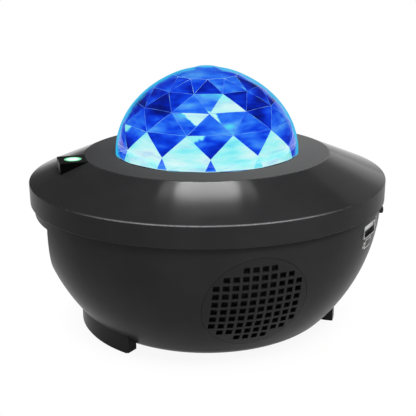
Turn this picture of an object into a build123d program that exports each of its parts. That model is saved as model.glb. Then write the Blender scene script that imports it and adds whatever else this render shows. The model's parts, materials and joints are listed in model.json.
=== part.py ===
from build123d import *
import os
from math import atan2, cos, degrees, hypot, radians, sin, sqrt, tan

# Star night light projector. Millimetres, +Z up, origin on the floor below the middle of the rim.
# The speaker faces -Y. An azimuth is in degrees, 0 at the front, growing towards +X.

# Clearances
SEAM = 0.15            # between fixed pieces that drop into an opening
MOVING_GAP = 0.3       # between a moving piece and what is fixed
RUNNING_FIT = 0.05     # radial, shaft in its bore
SCREW_GAP = 0.2        # radial, screw shank in a through hole
SHAFT_GAP = 0.8        # radial, turning shaft through a plate
OVERRUN = 1.0          # how far a cutter runs past the face it opens

# Case
RIM_R = 84.5           # top edge of the band
BAND_LOW_Z = 61.3      # lower edge of the band
BAND_HEIGHT = 10.0
BAND_DRAFT = 0.1
WALL = 2.2             # moulded wall of both half shells
CONE_W = 26.3          # sloping part, from the rim in to the flat top
PLATEAU_RISE = 10.8    # flat top above the rim edge
RIM_ROUND = 0.6
BAND_CHAMFER = 0.5
PLATEAU_ROUND = 1.2

# Bowl: an arc whose centre lies just beyond the axis
BOWL_STEP = 1.54       # bowl's top edge in from the band's lower edge
BOWL_CENTRE_R = -2.5
BOWL_CENTRE_RISE = 2.7  # arc centre above the band's lower edge
BASE_Z = 1.2           # flat underside above the floor
BASE_ROUND = 14.0
SHADOW_GAP = 0.5       # open groove between bowl and band
NECK_OVERLAP = 7.5     # neck of the bowl inside the band

# Feet, two arcs of a short skirt with a rubber pad each
FOOT_IN = 21.5         # outer face of the feet in from the rim
FOOT_WALL = 5.6
FOOT_SINK = 1.4        # how far the skirt's top runs into the bowl
FOOT_SPAN = 76.0
LEFT_FOOT_FRONT = -50.0
RIGHT_FOOT_FRONT = 57.6
PAD_T = 1.6
PAD_DEPTH = 0.8        # how far the pad sits up in its groove
PAD_MARGIN = 0.6       # wall left beside the groove
PAD_END = 1.5          # degrees of wall left at each end of the groove

# Dome
DOME_R = 43.5
DOME_H = 39.9
DOME_POWER = 1.13      # above 1 pulls the shoulder of the outline in
LENS_WALL = 1.8
LENS_FLANGE_W = 2.1
LENS_FLANGE_T = 1.8
FACETS_ROUND = 12      # facet corners on each ring
FACET_FIRST = 7.7      # latitude of the lowest ring of corners
FACET_STEP = 14.7      # latitude between rings
FACET_RINGS = 5
FACET_ANGLE = -13.0    # azimuth of a corner of the lowest ring
BASE_FACET_HALF = 3.5  # half the angle of the small facets at the base
RING_T = 2.0
RING_MARGIN = 0.8      # clamp ring past the lens flange
RING_EARS = (0.0, 120.0, 240.0)
RING_SCREW_OUT = 3.6   # screw centres past the clamp ring
RING_BOSS_R = 3.2
SMALL_SHANK_R = 1.0    # screws of the dome ring and of the main board
SMALL_HEAD_R = 2.0
SMALL_HEAD_T = 1.0

# Case posts, screws
POST_OUT = 4.1         # post centres past the clamp ring
POST_ANGLES = (45.0, 135.0, 225.0, 315.0)
POST_OUTER = 4.0
DRIVER_BORE = 3.0
POST_CAP = 4.0
COVER_BOSS_R = 3.5
SHANK_R = 1.2
HEAD_R = 2.6
HEAD_T = 2.0
THREAD_REACH = 7.0
TIP_ROOM = 1.0         # left between a screw's tip and the end of its hole

# Speaker and its grille
GRILLE_R = 22.8
GRILLE_Z = 33.2
GRILLE_PITCH = 3.95
GRILLE_HOLE = 2.75
GRID_HALF_WIDE = 5.4   # in pitches, half axes of the oval that the hole centres keep to
GRID_HALF_HIGH = 4.9
GRID_SIDE = 10
GRILLE_LEDGE_W = 1.0   # ledge in the bowl that the grille rests on
GRILLE_LEDGE_T = 1.2
COLLAR_WALL = 1.8
SPEAKER_SET_BACK = 4.0  # speaker's flange face behind the lowest edge of the grille
SPEAKER_FLANGE_T = 1.2
SPEAKER_DEPTH = 12.0
BASKET_BACK_R = 14.0
BASKET_WALL = 1.0
BASKET_WINDOWS = 4
BASKET_ARM_W = 6.0     # arms left between the windows
BASKET_RIM_W = 1.5     # closed edge above and below a window
SURROUND_W = 2.5       # rubber edge of the cone
SURROUND_LAND = 0.6    # flat of the rubber edge that is glued to the basket
SURROUND_RISE = 1.0    # how far its half roll stands forward
CONE_T = 0.8
CONE_DEPTH = 7.0
DUST_CAP_R = 6.0
DUST_CAP_RISE = 2.0
POLE_HOLE_R = 3.0
MAGNET_R = 15.0
MAGNET_T = 9.0
MAGNET_PLATE_T = 2.0   # steel plate on each side of the magnet ring
MAGNET_PLATE_IN = 0.8

# Optics tray, light engine and water-wave disc
TRAY_DROP = 12.8       # tray underside below the plateau
TRAY_T = 2.0
TRAY_IN = 5.0          # tray's edge in from the post centres
TRAY_LIP = 1.0
TRAY_EAR_R = 4.4
LED_BOARD_R = 18.0
LED_BOARD_T = 1.6
LED_RING_R = 10.0
LED_COUNT = 4
LED_SIDE = 3.5
LED_T = 1.0
LED_LENS_R = 4.0
LED_LENS_H = 2.4
SINK_R = 23.0
SINK_BASE_T = 3.0
SINK_FIN_H = 13.0
SINK_FIN_T = 1.2
SINK_FIN_PITCH = 4.4
AXLE_R = 1.5
AXLE_SHOULDER_R = 3.0
AXLE_SHOULDER_H = 4.3
CLIP_R = 3.2
CLIP_T = 0.7
GEAR_MODULE = 1.0
GEAR_TEETH = 56
PINION_TEETH = 10
GEAR_FACE = 3.0
GEAR_RIM = 3.0
HUB_R = 4.0
SPOKE_W = 3.0
SPOKES = 3
TOOTH_ROOT_W = 1.7
TOOTH_TIP_W = 0.7
ADDENDUM = 0.8
DEDENDUM = 1.1
WAVE_DISC_IN = 9.5     # edge of the disc in from the dome's
WAVE_DISC_T = 1.6
WAVE_RIPPLES = 7
WAVE_RIPPLE_H = 0.8
MOTOR_R = 9.0
MOTOR_H = 14.0
MOTOR_SHAFT_R = 1.0
MOTOR_ANGLE = 90.0
MOTOR_EDGE = 0.6
MOTOR_FLOOR = 1.0      # case left below the shaft's bore

# Laser star unit
LASER_ANGLE = -90.0
LASER_OUT = 5.8        # window centre past the flat top
POD_HALF = 7.25
POD_LENGTH = 12.5
POD_WALL = 1.4
POD_TOP_T = 2.2
POD_LIP_W = 1.2        # lip that lies against the cover's underside
POD_LIP_T = 1.0
POD_EDGE = 0.6
WINDOW_R = 4.0
WINDOW_T = 1.2
LEDGE_W = 0.7
BRACKET_HALF = 9.5
BRACKET_T = 2.0
BRACKET_OVERLAP = 8.5  # under the tray
BRACKET_MARGIN = 1.0   # past the laser's lip
BRACKET_CORNER = 4.0
LASER_BARREL_R = 4.5
LASER_BARREL_H = 14.0
LASER_BARREL_RISE = 1.8
LASER_APERTURE_R = 1.2
LASER_LIP_R = 5.6
GRATING_R = 16.0
GRATING_T = 0.8
GRATING_IN = 12.0      # axis of the grating in from the laser
GRATING_LIFT = 1.4     # grating disc above the tray top
GRATING_HUB_R = 2.5
GRATING_MOTOR_R = 6.0
GRATING_MOTOR_H = 12.0
GRATING_SHAFT_R = 0.8

# Data socket
USB_ANGLE = 45.0
USB_Z = 54.9
USB_W = 13.2
USB_H = 5.8
USB_L = 14.0
USB_SHEET = 0.4
USB_PROUD = 0.2        # open end of the shell past the bowl's surface
TONGUE_T = 2.0
TONGUE_SIDE = 0.7
TONGUE_BACK = 1.0      # tongue set back from the open end
BOARD_T = 1.6
PORT_BOARD_HALF = 9.5
PORT_BOARD_L = 15.5
SHELF_T = 2.0
SHELF_H = 4.0

# Push buttons
BUTTON_ANGLE = 80.0
BUTTON_Z = 57.2
BUTTON_PITCH = 17.0
BUTTON_COUNT = 4
BUTTON_R = 1.8
BUTTON_PROUD = 1.2
BUTTON_TRAVEL = 0.8
BUTTON_FLANGE_R = 3.0
BUTTON_FLANGE_T = 1.0
BUTTON_STEM_R = 1.2
BUTTON_STEM_L = 7.4    # shortest stem, of the outermost button
BUTTON_EDGE = 0.5
SWITCH_SIDE = 6.0
SWITCH_T = 3.5
SWITCH_BOTTOM = 0.8
BUTTON_BOARD_H = 8.0
BUTTON_BOARD_MARGIN = 4.5
BUTTON_POST_R = 1.8

# Power recess at the side and its inlet
RECESS_ANGLE = -104.0
RECESS_TOP_Z = 56.7
RECESS_LOW_Z = 24.4
RECESS_DEPTH = 11.1    # flat face behind the bowl's surface, at the top
INLET_Z = 49.3
INLET_W = 7.6
INLET_H = 2.9
INLET_L = 6.0
INLET_SHEET = 0.35
INLET_TONGUE_T = 0.8
INLET_TONGUE_SIDE = 0.7
INLET_SET_BACK = 1.1   # open end of the shell behind the flat face
POCKET_W = 11.6
POCKET_H = 7.0
INLET_BOARD_HALF = 7.5
INLET_BOARD_L = 14.0

# Main board
MAIN_BOARD_Z = 11.0
MAIN_BOARD_X = 56.0
MAIN_BOARD_Y = 42.0
MAIN_BOARD_CENTRE_Y = 17.0
STANDOFF_R = 2.6
STANDOFF_INSET = 4.0
STANDOFF_THREAD = 6.0
CHIP_SIDE = 9.0
CHIP_T = 1.6
CHIP_SPOTS = ((-9.0, 0.0), (9.0, 9.0))
CAPACITOR_R = 4.0
CAPACITOR_H = 11.0
CAPACITOR_PITCH = 18.0
CAPACITOR_COUNT = 3
CAPACITOR_EDGE = 1.0   # from the board's edge

# Levels that follow from the sizes above
RIM_Z = BAND_LOW_Z + BAND_HEIGHT
PLATEAU_Z = RIM_Z + PLATEAU_RISE
PLATEAU_R = RIM_R - CONE_W
COVER_UNDER_Z = PLATEAU_Z - WALL
BAND_LOW_R = RIM_R - BAND_DRAFT
BOWL_ARC = hypot(BAND_LOW_R - BOWL_STEP - BOWL_CENTRE_R, BOWL_CENTRE_RISE)
FOOT_R = RIM_R - FOOT_IN
NECK_R = BAND_LOW_R - WALL - SEAM
GROOVE_Z = BAND_LOW_Z - SHADOW_GAP
NECK_TOP_Z = BAND_LOW_Z + NECK_OVERLAP
CONE_SLOPE = atan2(PLATEAU_RISE, RIM_R - PLATEAU_R)
LENS_FLANGE_R = DOME_R + LENS_FLANGE_W
RING_R = LENS_FLANGE_R + RING_MARGIN
RING_SCREW_R = RING_R + RING_SCREW_OUT
POST_R = RING_R + POST_OUT
TRAY_R = POST_R - TRAY_IN
WAVE_DISC_R = DOME_R - WAVE_DISC_IN
FLANGE_LOW_Z = COVER_UNDER_Z - LENS_FLANGE_T
RING_LOW_Z = FLANGE_LOW_Z - RING_T
TRAY_Z = PLATEAU_Z - TRAY_DROP
TRAY_TOP_Z = TRAY_Z + TRAY_T
SINK_TOP_Z = TRAY_Z
SHOULDER_Z = SINK_TOP_Z + AXLE_SHOULDER_H
GEAR_Z = SHOULDER_Z + MOVING_GAP
GEAR_TOP_Z = GEAR_Z + GEAR_FACE
DISC_TOP_Z = GEAR_TOP_Z + WAVE_DISC_T
HUB_TOP_Z = DISC_TOP_Z + WAVE_RIPPLE_H
CLIP_Z = HUB_TOP_Z + MOVING_GAP
PINION_TOP_Z = GEAR_TOP_Z - MOVING_GAP
GEAR_DISTANCE = GEAR_MODULE * (GEAR_TEETH + PINION_TEETH) / 2
LASER_R = PLATEAU_R + LASER_OUT
POD_END_R = PLATEAU_R + POD_LENGTH
GRATING_AXIS_R = LASER_R - GRATING_IN
BRACKET_INNER_R = TRAY_R - BRACKET_OVERLAP
BRACKET_OUTER_R = LASER_R + LASER_LIP_R + BRACKET_MARGIN
BRACKET_Z = TRAY_Z - BRACKET_T
GRATING_Z = TRAY_TOP_Z + GRATING_LIFT
PRESS_DEPTH = BUTTON_TRAVEL + MOVING_GAP
USB_LOW_Z = USB_Z - USB_H / 2
INLET_LOW_Z = INLET_Z - INLET_H / 2


def rod(radius, low, high, x=0.0, y=0.0):
    return Pos(x, y, (low + high) / 2) * Cylinder(radius, high - low)


def tube(outer, inner, low, high, x=0.0, y=0.0):
    return rod(outer, low, high, x, y) - rod(inner, low, high, x, y)


def block(x_low, x_high, y_low, y_high, z_low, z_high):
    middle = Pos((x_low + x_high) / 2, (y_low + y_high) / 2, (z_low + z_high) / 2)
    return middle * Box(x_high - x_low, y_high - y_low, z_high - z_low)


def front_rod(radius, near, far, x=0.0, z=0.0):
    """A rod along Y in front of the axis, between two distances from it."""
    return Pos(x, -(near + far) / 2, z) * Rot(90, 0, 0) * Cylinder(radius, far - near)


def front_block(half_width, near, far, low, high, x=0.0):
    return block(x - half_width, x + half_width, -far, -near, low, high)


def rounded_end(radius, distance, low, high):
    """Upright rod in front of the axis, as the round end of an ear."""
    return rod(radius, low, high, y=-distance)


def faced(part, azimuth):
    """Turns a piece that was made facing the front to its azimuth."""
    return part.rotate(Axis.Z, azimuth)


def place(radius, azimuth):
    return radius * sin(radians(azimuth)), -radius * cos(radians(azimuth))


def spun(face):
    """Revolves an outline drawn as (radius, height)."""
    return revolve(Plane.XZ * face, Axis.Z)


def outline(*corners):
    return make_face(Polyline(*corners, close=True))


def sector(inner, outer, low, high, start, span):
    """Part of a ring, from the azimuth start over span degrees."""
    face = outline((inner, low), (outer, low), (outer, high), (inner, high))
    return revolve(Plane.XZ * face, Axis.Z, span).rotate(Axis.Z, start - 90)


# ---- Bowl ----


def bowl_radius(height, depth=0.0):
    """Radius of the bowl's surface, or of a layer that far inside it."""
    rise = height - BAND_LOW_Z - BOWL_CENTRE_RISE
    return BOWL_CENTRE_R + sqrt((BOWL_ARC - depth) ** 2 - rise ** 2)


def wall_distance(height, half_width, depth=WALL):
    """How far out a piece of that half width can reach before it meets the bowl's inner face."""
    return sqrt(min(bowl_radius(height, depth), NECK_R - depth) ** 2 - half_width ** 2)


def bowl_height(radius):
    """Height of the bowl's surface at that distance from the axis."""
    return BAND_LOW_Z + BOWL_CENTRE_RISE - sqrt(BOWL_ARC ** 2 - (radius - BOWL_CENTRE_R) ** 2)


def speaker_face():
    return bowl_radius(GRILLE_Z - GRILLE_R) - SPEAKER_SET_BACK


def usb_face():
    return bowl_radius(USB_Z) + USB_PROUD


def port_board_far():
    return wall_distance(USB_LOW_Z - BOARD_T, PORT_BOARD_HALF) - SEAM


def recess_slope():
    """How much the recess's flat face moves out for each millimetre down."""
    depth = bowl_radius(RECESS_LOW_Z) - bowl_radius(RECESS_TOP_Z) + RECESS_DEPTH
    return depth / (RECESS_TOP_Z - RECESS_LOW_Z)


def recess_face(height):
    return bowl_radius(RECESS_LOW_Z) - recess_slope() * (height - RECESS_LOW_Z)


def inlet_face():
    return recess_face(INLET_Z) - INLET_SET_BACK


def inlet_board_far():
    return inlet_face() - INLET_L / 2


def switch_face():
    """Where the switches stand on their board, so that the outermost button has its stem."""
    reach = BUTTON_PITCH * (BUTTON_COUNT - 1) / 2 + BUTTON_FLANGE_R
    flange = wall_distance(BUTTON_Z - BUTTON_FLANGE_R, reach) - MOVING_GAP
    return flange - BUTTON_STEM_L - PRESS_DEPTH - SWITCH_BOTTOM


def bowl_solid(depth, top):
    """All that lies inside the bowl's surface moved inwards by depth."""
    low = BASE_Z + depth
    middle = (low + top) / 2
    corner = (bowl_radius(low, depth), low)
    side = ThreePointArc(corner, (bowl_radius(middle, depth), middle), (bowl_radius(top, depth), top))
    rest = Polyline((bowl_radius(top, depth), top), (0, top), (0, low), corner)
    face = make_face(side.edges() + rest.edges())
    vertex = face.vertices().sort_by_distance(Vector(*corner))[0]
    return spun(fillet(vertex, BASE_ROUND - depth))


def recess_cutter(depth):
    """Space of the side recess, grown by depth into the bowl."""
    shift = depth * hypot(1, recess_slope())
    top = RECESS_TOP_Z + depth
    low = RECESS_LOW_Z - depth
    far = RIM_R + WALL
    side = outline((recess_face(top) - shift, top), (far, top), (far, low), (recess_face(low) - shift, low))
    wedge = extrude(Plane.XZ * side, RIM_R, both=True)
    return wedge.rotate(Axis.Z, RECESS_ANGLE - 90)


def feet_skirt():
    skirts = []
    for start in (LEFT_FOOT_FRONT - FOOT_SPAN, RIGHT_FOOT_FRONT):
        top = bowl_height(FOOT_R) + FOOT_SINK
        skirts.append(sector(FOOT_R - FOOT_WALL, FOOT_R, PAD_T - PAD_DEPTH, top, start, FOOT_SPAN))
    return skirts


def foot_pad(start):
    inner = FOOT_R - FOOT_WALL + PAD_MARGIN
    return sector(inner, FOOT_R - PAD_MARGIN, 0, PAD_T, start + PAD_END, FOOT_SPAN - 2 * PAD_END)


def speaker_collar(body):
    """Tube from the bowl's wall in to the speaker's flange."""
    return front_rod(GRILLE_R + SEAM + COLLAR_WALL, speaker_face(), RIM_R, z=GRILLE_Z) & body


def grille_ledge():
    """Ring that follows the back of the grille, inside the speaker's collar."""
    ring = front_rod(GRILLE_R + SEAM + COLLAR_WALL / 2, speaker_face(), RIM_R, z=GRILLE_Z)
    ring -= front_rod(GRILLE_R - GRILLE_LEDGE_W, speaker_face(), RIM_R, z=GRILLE_Z)
    layer = bowl_solid(WALL, GROOVE_Z) - bowl_solid(WALL + GRILLE_LEDGE_T, GROOVE_Z)
    return ring & layer


def shelf_ribs(body, turn, near, low, half):
    """Two ribs on the bowl's wall that carry a small board."""
    ribs = []
    for side in (-1, 1):
        rib = front_block(SHELF_T / 2, near, RIM_R, low - SHELF_H, low, x=side * (half - SHELF_T))
        ribs.append(faced(rib, turn) & body)
    return ribs


def button_posts(body):
    """Posts from the bowl's wall to the outer face of the button board, between the buttons."""
    posts = []
    for side in (-1, 1):
        post = front_rod(BUTTON_POST_R, switch_face(), RIM_R, side * BUTTON_PITCH, BUTTON_Z)
        posts.append(faced(post, BUTTON_ANGLE) & body)
    return posts


def board_standoffs():
    spots = []
    for x in (-1, 1):
        for y in (-1, 1):
            spot_x = x * (MAIN_BOARD_X / 2 - STANDOFF_INSET)
            spot_y = MAIN_BOARD_CENTRE_Y + y * (MAIN_BOARD_Y / 2 - STANDOFF_INSET)
            spots.append((spot_x, spot_y))
    return spots


def button_offsets():
    first = -BUTTON_PITCH * (BUTTON_COUNT - 1) / 2
    return [first + BUTTON_PITCH * index for index in range(BUTTON_COUNT)]


def make_lower_bowl():
    hollow = bowl_solid(WALL, GROOVE_Z - WALL)
    bore = rod(NECK_R - WALL, GROOVE_Z - WALL, NECK_TOP_Z)
    inside = (hollow + bore) - recess_cutter(WALL)
    body = bowl_solid(0, GROOVE_Z) + rod(NECK_R, GROOVE_Z, NECK_TOP_Z) + feet_skirt()
    body = body - recess_cutter(0)
    shell = body - inside
    shell += speaker_collar(body)
    near = port_board_far() - PORT_BOARD_L
    shell += shelf_ribs(body, USB_ANGLE, near, USB_LOW_Z - BOARD_T, PORT_BOARD_HALF)
    near = inlet_board_far() - INLET_BOARD_L
    shell += shelf_ribs(body, RECESS_ANGLE, near, INLET_LOW_Z - BOARD_T, INLET_BOARD_HALF)
    shell += button_posts(body)
    for turn in POST_ANGLES:
        x, y = place(POST_R, turn)
        shell += rod(POST_OUTER, BASE_Z + WALL / 2, TRAY_Z, x, y) & (body + bore)
    for x, y in board_standoffs():
        shell += rod(STANDOFF_R, BASE_Z + WALL / 2, MAIN_BOARD_Z, x, y) & body
        shell -= rod(SMALL_SHANK_R, MAIN_BOARD_Z - STANDOFF_THREAD, MAIN_BOARD_Z, x, y)
    return shell - bowl_holes() + grille_ledge()


def bowl_holes():
    """Everything that is cut through the bowl or into its posts."""
    cuts = front_rod(GRILLE_R + SEAM, speaker_face() - OVERRUN, RIM_R, z=GRILLE_Z)
    for turn in POST_ANGLES:
        x, y = place(POST_R, turn)
        cuts += rod(DRIVER_BORE, 0, TRAY_Z - POST_CAP, x, y)
        cuts += rod(SHANK_R + SCREW_GAP, 0, TRAY_Z + OVERRUN, x, y)
    for start in (LEFT_FOOT_FRONT - FOOT_SPAN, RIGHT_FOOT_FRONT):
        cuts += foot_pad(start)
    half = USB_W / 2 + SEAM
    port = front_block(half, usb_face() - USB_L, RIM_R, USB_LOW_Z - SEAM, USB_LOW_Z + USB_H + SEAM)
    cuts += faced(port, USB_ANGLE)
    for offset in button_offsets():
        hole = front_rod(BUTTON_R + MOVING_GAP, switch_face() - BOARD_T, RIM_R, offset, BUTTON_Z)
        cuts += faced(hole, BUTTON_ANGLE)
    half = POCKET_H / 2
    pocket = front_block(POCKET_W / 2, inlet_face(), RIM_R, INLET_Z - half, INLET_Z + half)
    cuts += faced(pocket, RECESS_ANGLE)
    half, near = INLET_W / 2 + SEAM, inlet_face() - INLET_L
    slot = front_block(half, near, RIM_R, INLET_LOW_Z - SEAM, INLET_LOW_Z + INLET_H + SEAM)
    return cuts + faced(slot, RECESS_ANGLE)


# ---- Top cover and dome ----


def cover_face(depth, low):
    """Half outline of the cover, moved inwards by depth."""
    slope = tan(CONE_SLOPE)
    drop = depth / cos(CONE_SLOPE)
    rim_r = RIM_R - depth
    rim = (rim_r, RIM_Z + depth * slope - drop)
    plateau = (PLATEAU_R - (drop - depth) / slope, PLATEAU_Z - depth)
    low_r = BAND_LOW_R - depth
    return outline((0, low), (low_r, low), rim, plateau, (0, PLATEAU_Z - depth)), rim, plateau, (low_r, low)


def cover_solid():
    face, rim, plateau, low = cover_face(0, BAND_LOW_Z)
    for corner, radius in ((rim, RIM_ROUND), (plateau, PLATEAU_ROUND)):
        face = fillet(face.vertices().sort_by_distance(Vector(*corner))[0], radius)
    return spun(chamfer(face.vertices().sort_by_distance(Vector(*low))[0], BAND_CHAMFER))


def pod_opening():
    half = POD_HALF + SEAM
    hole = front_block(half, PLATEAU_R - SEAM, POD_END_R + SEAM, TRAY_Z, PLATEAU_Z + OVERRUN)
    return faced(hole, LASER_ANGLE)


def make_top_cover():
    cover = cover_solid() - spun(cover_face(WALL, BAND_LOW_Z)[0])
    for turn in POST_ANGLES:
        x, y = place(POST_R, turn)
        cover += rod(COVER_BOSS_R, TRAY_TOP_Z, COVER_UNDER_Z, x, y)
        cover -= rod(SHANK_R, TRAY_TOP_Z, TRAY_TOP_Z + THREAD_REACH, x, y)
    for turn in RING_EARS:
        x, y = place(RING_SCREW_R, turn)
        cover += rod(RING_BOSS_R, FLANGE_LOW_Z, COVER_UNDER_Z, x, y)
        cover -= rod(SMALL_SHANK_R, FLANGE_LOW_Z, COVER_UNDER_Z, x, y)
    cover -= rod(LENS_FLANGE_R + SEAM, FLANGE_LOW_Z, COVER_UNDER_Z)
    cover -= rod(DOME_R + SEAM, COVER_UNDER_Z, PLATEAU_Z + OVERRUN)
    return cover - pod_opening()


def dome_point(latitude, inset=0.0):
    """Radius and height of the dome's outline above the plateau."""
    turn = radians(latitude)
    return (DOME_R - inset) * cos(turn) ** DOME_POWER, PLATEAU_Z + (DOME_H - inset) * sin(turn)


def lens_outer():
    steps = 10
    points = [dome_point(90 * step / steps) for step in range(steps)] + [(0, PLATEAU_Z + DOME_H)]
    arch = Spline(*points, tangents=((0, 1), (-1, 0)))
    rest = Polyline(
        (0, PLATEAU_Z + DOME_H), (0, FLANGE_LOW_Z), (LENS_FLANGE_R, FLANGE_LOW_Z),
        (LENS_FLANGE_R, COVER_UNDER_Z), (DOME_R, COVER_UNDER_Z), points[0],
    )
    return spun(make_face(arch.edges() + rest.edges()))


def facet_ring(index):
    """Corners of one ring of facets. Alternate rings are turned by half a step."""
    radius, height = dome_point(FACET_FIRST + FACET_STEP * index, LENS_WALL)
    step = 360 / FACETS_ROUND
    shift = FACET_ANGLE + step / 2 * (index % 2)
    return [(*place(radius, shift + step * count), height) for count in range(FACETS_ROUND)]


def base_ring(height):
    """Corners below the lowest ring: a narrow and a wide side in turn."""
    radius = dome_point(0, LENS_WALL)[0]
    corners = []
    for count in range(FACETS_ROUND):
        middle = FACET_ANGLE + 360 / FACETS_ROUND * count
        corners.append((*place(radius, middle - BASE_FACET_HALF), height))
        corners.append((*place(radius, middle + BASE_FACET_HALF), height))
    return corners


def flat_face(*corners):
    return Face(Wire.make_polygon(corners, close=True))


def lens_facets():
    """The faceted hollow of the dome as one solid."""
    rings = [facet_ring(index) for index in range(FACET_RINGS)]
    top = base_ring(PLATEAU_Z)
    bottom = base_ring(FLANGE_LOW_Z - OVERRUN)
    count = FACETS_ROUND
    faces = [flat_face(*rings[-1]), flat_face(*bottom)]
    for index in range(2 * count):
        after = (index + 1) % (2 * count)
        faces.append(flat_face(bottom[index], bottom[after], top[after], top[index]))
    for index in range(count):
        after = (index + 1) % count
        left, right = top[2 * index], top[2 * index + 1]
        faces.append(flat_face(left, right, rings[0][index]))
        faces.append(flat_face(right, top[2 * after], rings[0][after], rings[0][index]))
    for level in range(FACET_RINGS - 1):
        lower, upper = rings[level], rings[level + 1]
        for index in range(count):
            after = (index + 1) % count
            # The ring above is half a step ahead on even levels and half a step back on odd ones.
            ahead = index if level % 2 == 0 else after
            faces.append(flat_face(lower[index], lower[after], upper[ahead]))
            before = (index - 1) % count if level % 2 == 0 else index
            faces.append(flat_face(upper[before], upper[(before + 1) % count], lower[index]))
    return Solid(Shell(faces))


def make_dome_lens():
    return lens_outer() - lens_facets()


def make_dome_ring():
    ring = tube(RING_R, DOME_R - LENS_WALL, RING_LOW_Z, FLANGE_LOW_Z)
    for turn in RING_EARS:
        ear = front_block(RING_BOSS_R, DOME_R, RING_SCREW_R, RING_LOW_Z, FLANGE_LOW_Z)
        ear += rounded_end(RING_BOSS_R, RING_SCREW_R, RING_LOW_Z, FLANGE_LOW_Z)
        ear -= rod(SMALL_SHANK_R + SCREW_GAP, RING_LOW_Z, FLANGE_LOW_Z, y=-RING_SCREW_R)
        ring += faced(ear, turn) - rod(DOME_R, RING_LOW_Z, FLANGE_LOW_Z)
    return ring


def make_ring_screws():
    screws = []
    for turn in RING_EARS:
        x, y = place(RING_SCREW_R, turn)
        head = rod(SMALL_HEAD_R, RING_LOW_Z - SMALL_HEAD_T, RING_LOW_Z, x, y)
        screws.append(head + rod(SMALL_SHANK_R - RUNNING_FIT, RING_LOW_Z, COVER_UNDER_Z - SEAM, x, y))
    return screws


def make_case_screws():
    screws = []
    seat = TRAY_Z - POST_CAP
    for turn in POST_ANGLES:
        x, y = place(POST_R, turn)
        head = rod(HEAD_R, seat - HEAD_T, seat, x, y)
        screws.append(head + rod(SHANK_R - RUNNING_FIT, seat, TRAY_TOP_Z + THREAD_REACH - TIP_ROOM, x, y))
    return screws


# ---- Speaker ----


def grille_spots():
    """Centres of the square holes: a grid kept inside an oval."""
    spots = []
    middle = (GRID_SIDE - 1) / 2
    for row in range(GRID_SIDE):
        for column in range(GRID_SIDE):
            across, up = column - middle, row - middle
            if (across / GRID_HALF_WIDE) ** 2 + (up / GRID_HALF_HIGH) ** 2 < 1:
                spots.append((across * GRILLE_PITCH, up * GRILLE_PITCH))
    return spots


def make_speaker_grille():
    """A disc of the bowl's own curve, with every hole cut straight to the front."""
    disc = bowl_solid(0, GROOVE_Z) - bowl_solid(WALL, GROOVE_Z)
    disc = disc & front_rod(GRILLE_R, speaker_face() / 2, RIM_R, z=GRILLE_Z)
    holes = []
    for x, up in grille_spots():
        low = GRILLE_Z + up - GRILLE_HOLE / 2
        holes.append(front_block(GRILLE_HOLE / 2, speaker_face() / 2, RIM_R, low, low + GRILLE_HOLE, x))
    return disc - holes


def front_spun(face):
    """Revolves an outline of (radius, distance from the axis) about the speaker's own axis."""
    return Pos(0, 0, GRILLE_Z) * Rot(90, 0, 0) * spun(face)


def make_speaker_frame():
    rim = GRILLE_R + SEAM + COLLAR_WALL / 2
    flange = speaker_face() - SPEAKER_FLANGE_T
    back = speaker_face() - SPEAKER_DEPTH
    inner = GRILLE_R - SURROUND_W / 2
    face = outline(
        (rim, speaker_face()), (rim, flange), (inner + BASKET_WALL, flange), (BASKET_BACK_R, back),
        (POLE_HOLE_R, back), (POLE_HOLE_R, back + BASKET_WALL),
        (BASKET_BACK_R - BASKET_WALL, back + BASKET_WALL), (inner, flange), (inner, speaker_face()),
    )
    return front_spun(face) - basket_windows(back + BASKET_WALL + BASKET_RIM_W, flange - BASKET_RIM_W)


def basket_windows(near, far):
    """Openings round the basket's cone, with an arm left between each two."""
    ring = front_rod(GRILLE_R, near, far, z=GRILLE_Z)
    for index in range(BASKET_WINDOWS // 2):
        arm = front_block(BASKET_ARM_W / 2, near, far, GRILLE_Z - GRILLE_R, GRILLE_Z + GRILLE_R)
        turn = 360 / BASKET_WINDOWS * index + 180 / BASKET_WINDOWS
        ring -= arm.rotate(Axis((0, 0, GRILLE_Z), (0, 1, 0)), turn)
    return ring


def make_speaker_cone():
    outer = GRILLE_R - SURROUND_W / 2
    cone_r = outer - SURROUND_W
    front = speaker_face()
    deep = speaker_face() - CONE_DEPTH
    roll_out, top = outer - SURROUND_LAND, front + SURROUND_RISE
    middle = (roll_out + cone_r) / 2
    land = Polyline((roll_out, front), (outer, front), (outer, front - CONE_T), (roll_out, front - CONE_T))
    roll_back = ThreePointArc((roll_out, front - CONE_T), (middle, top - CONE_T), (cone_r, front - CONE_T))
    cone_back = Line((cone_r, front - CONE_T), (DUST_CAP_R, deep))
    cap_back = dust_cap_arc(deep)
    cap_middle = Line((0, deep + DUST_CAP_RISE), (0, deep + DUST_CAP_RISE + CONE_T))
    cap_front = dust_cap_arc(deep + CONE_T)
    cone_front = Line((DUST_CAP_R, deep + CONE_T), (cone_r, front))
    roll_front = ThreePointArc((cone_r, front), (middle, top), (roll_out, front))
    edges = land.edges() + roll_back.edges() + cone_back.edges() + cap_back.edges() + cap_middle.edges()
    edges += cap_front.edges() + cone_front.edges() + roll_front.edges()
    return front_spun(make_face(edges))


def dust_cap_arc(level):
    """Half of a ball's cap that rises to its middle on the axis."""
    ball = (DUST_CAP_R ** 2 + DUST_CAP_RISE ** 2) / (2 * DUST_CAP_RISE)
    half_r = DUST_CAP_R / 2
    half_way = (half_r, level + DUST_CAP_RISE - ball + sqrt(ball ** 2 - half_r ** 2))
    return ThreePointArc((DUST_CAP_R, level), half_way, (0, level + DUST_CAP_RISE))


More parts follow.
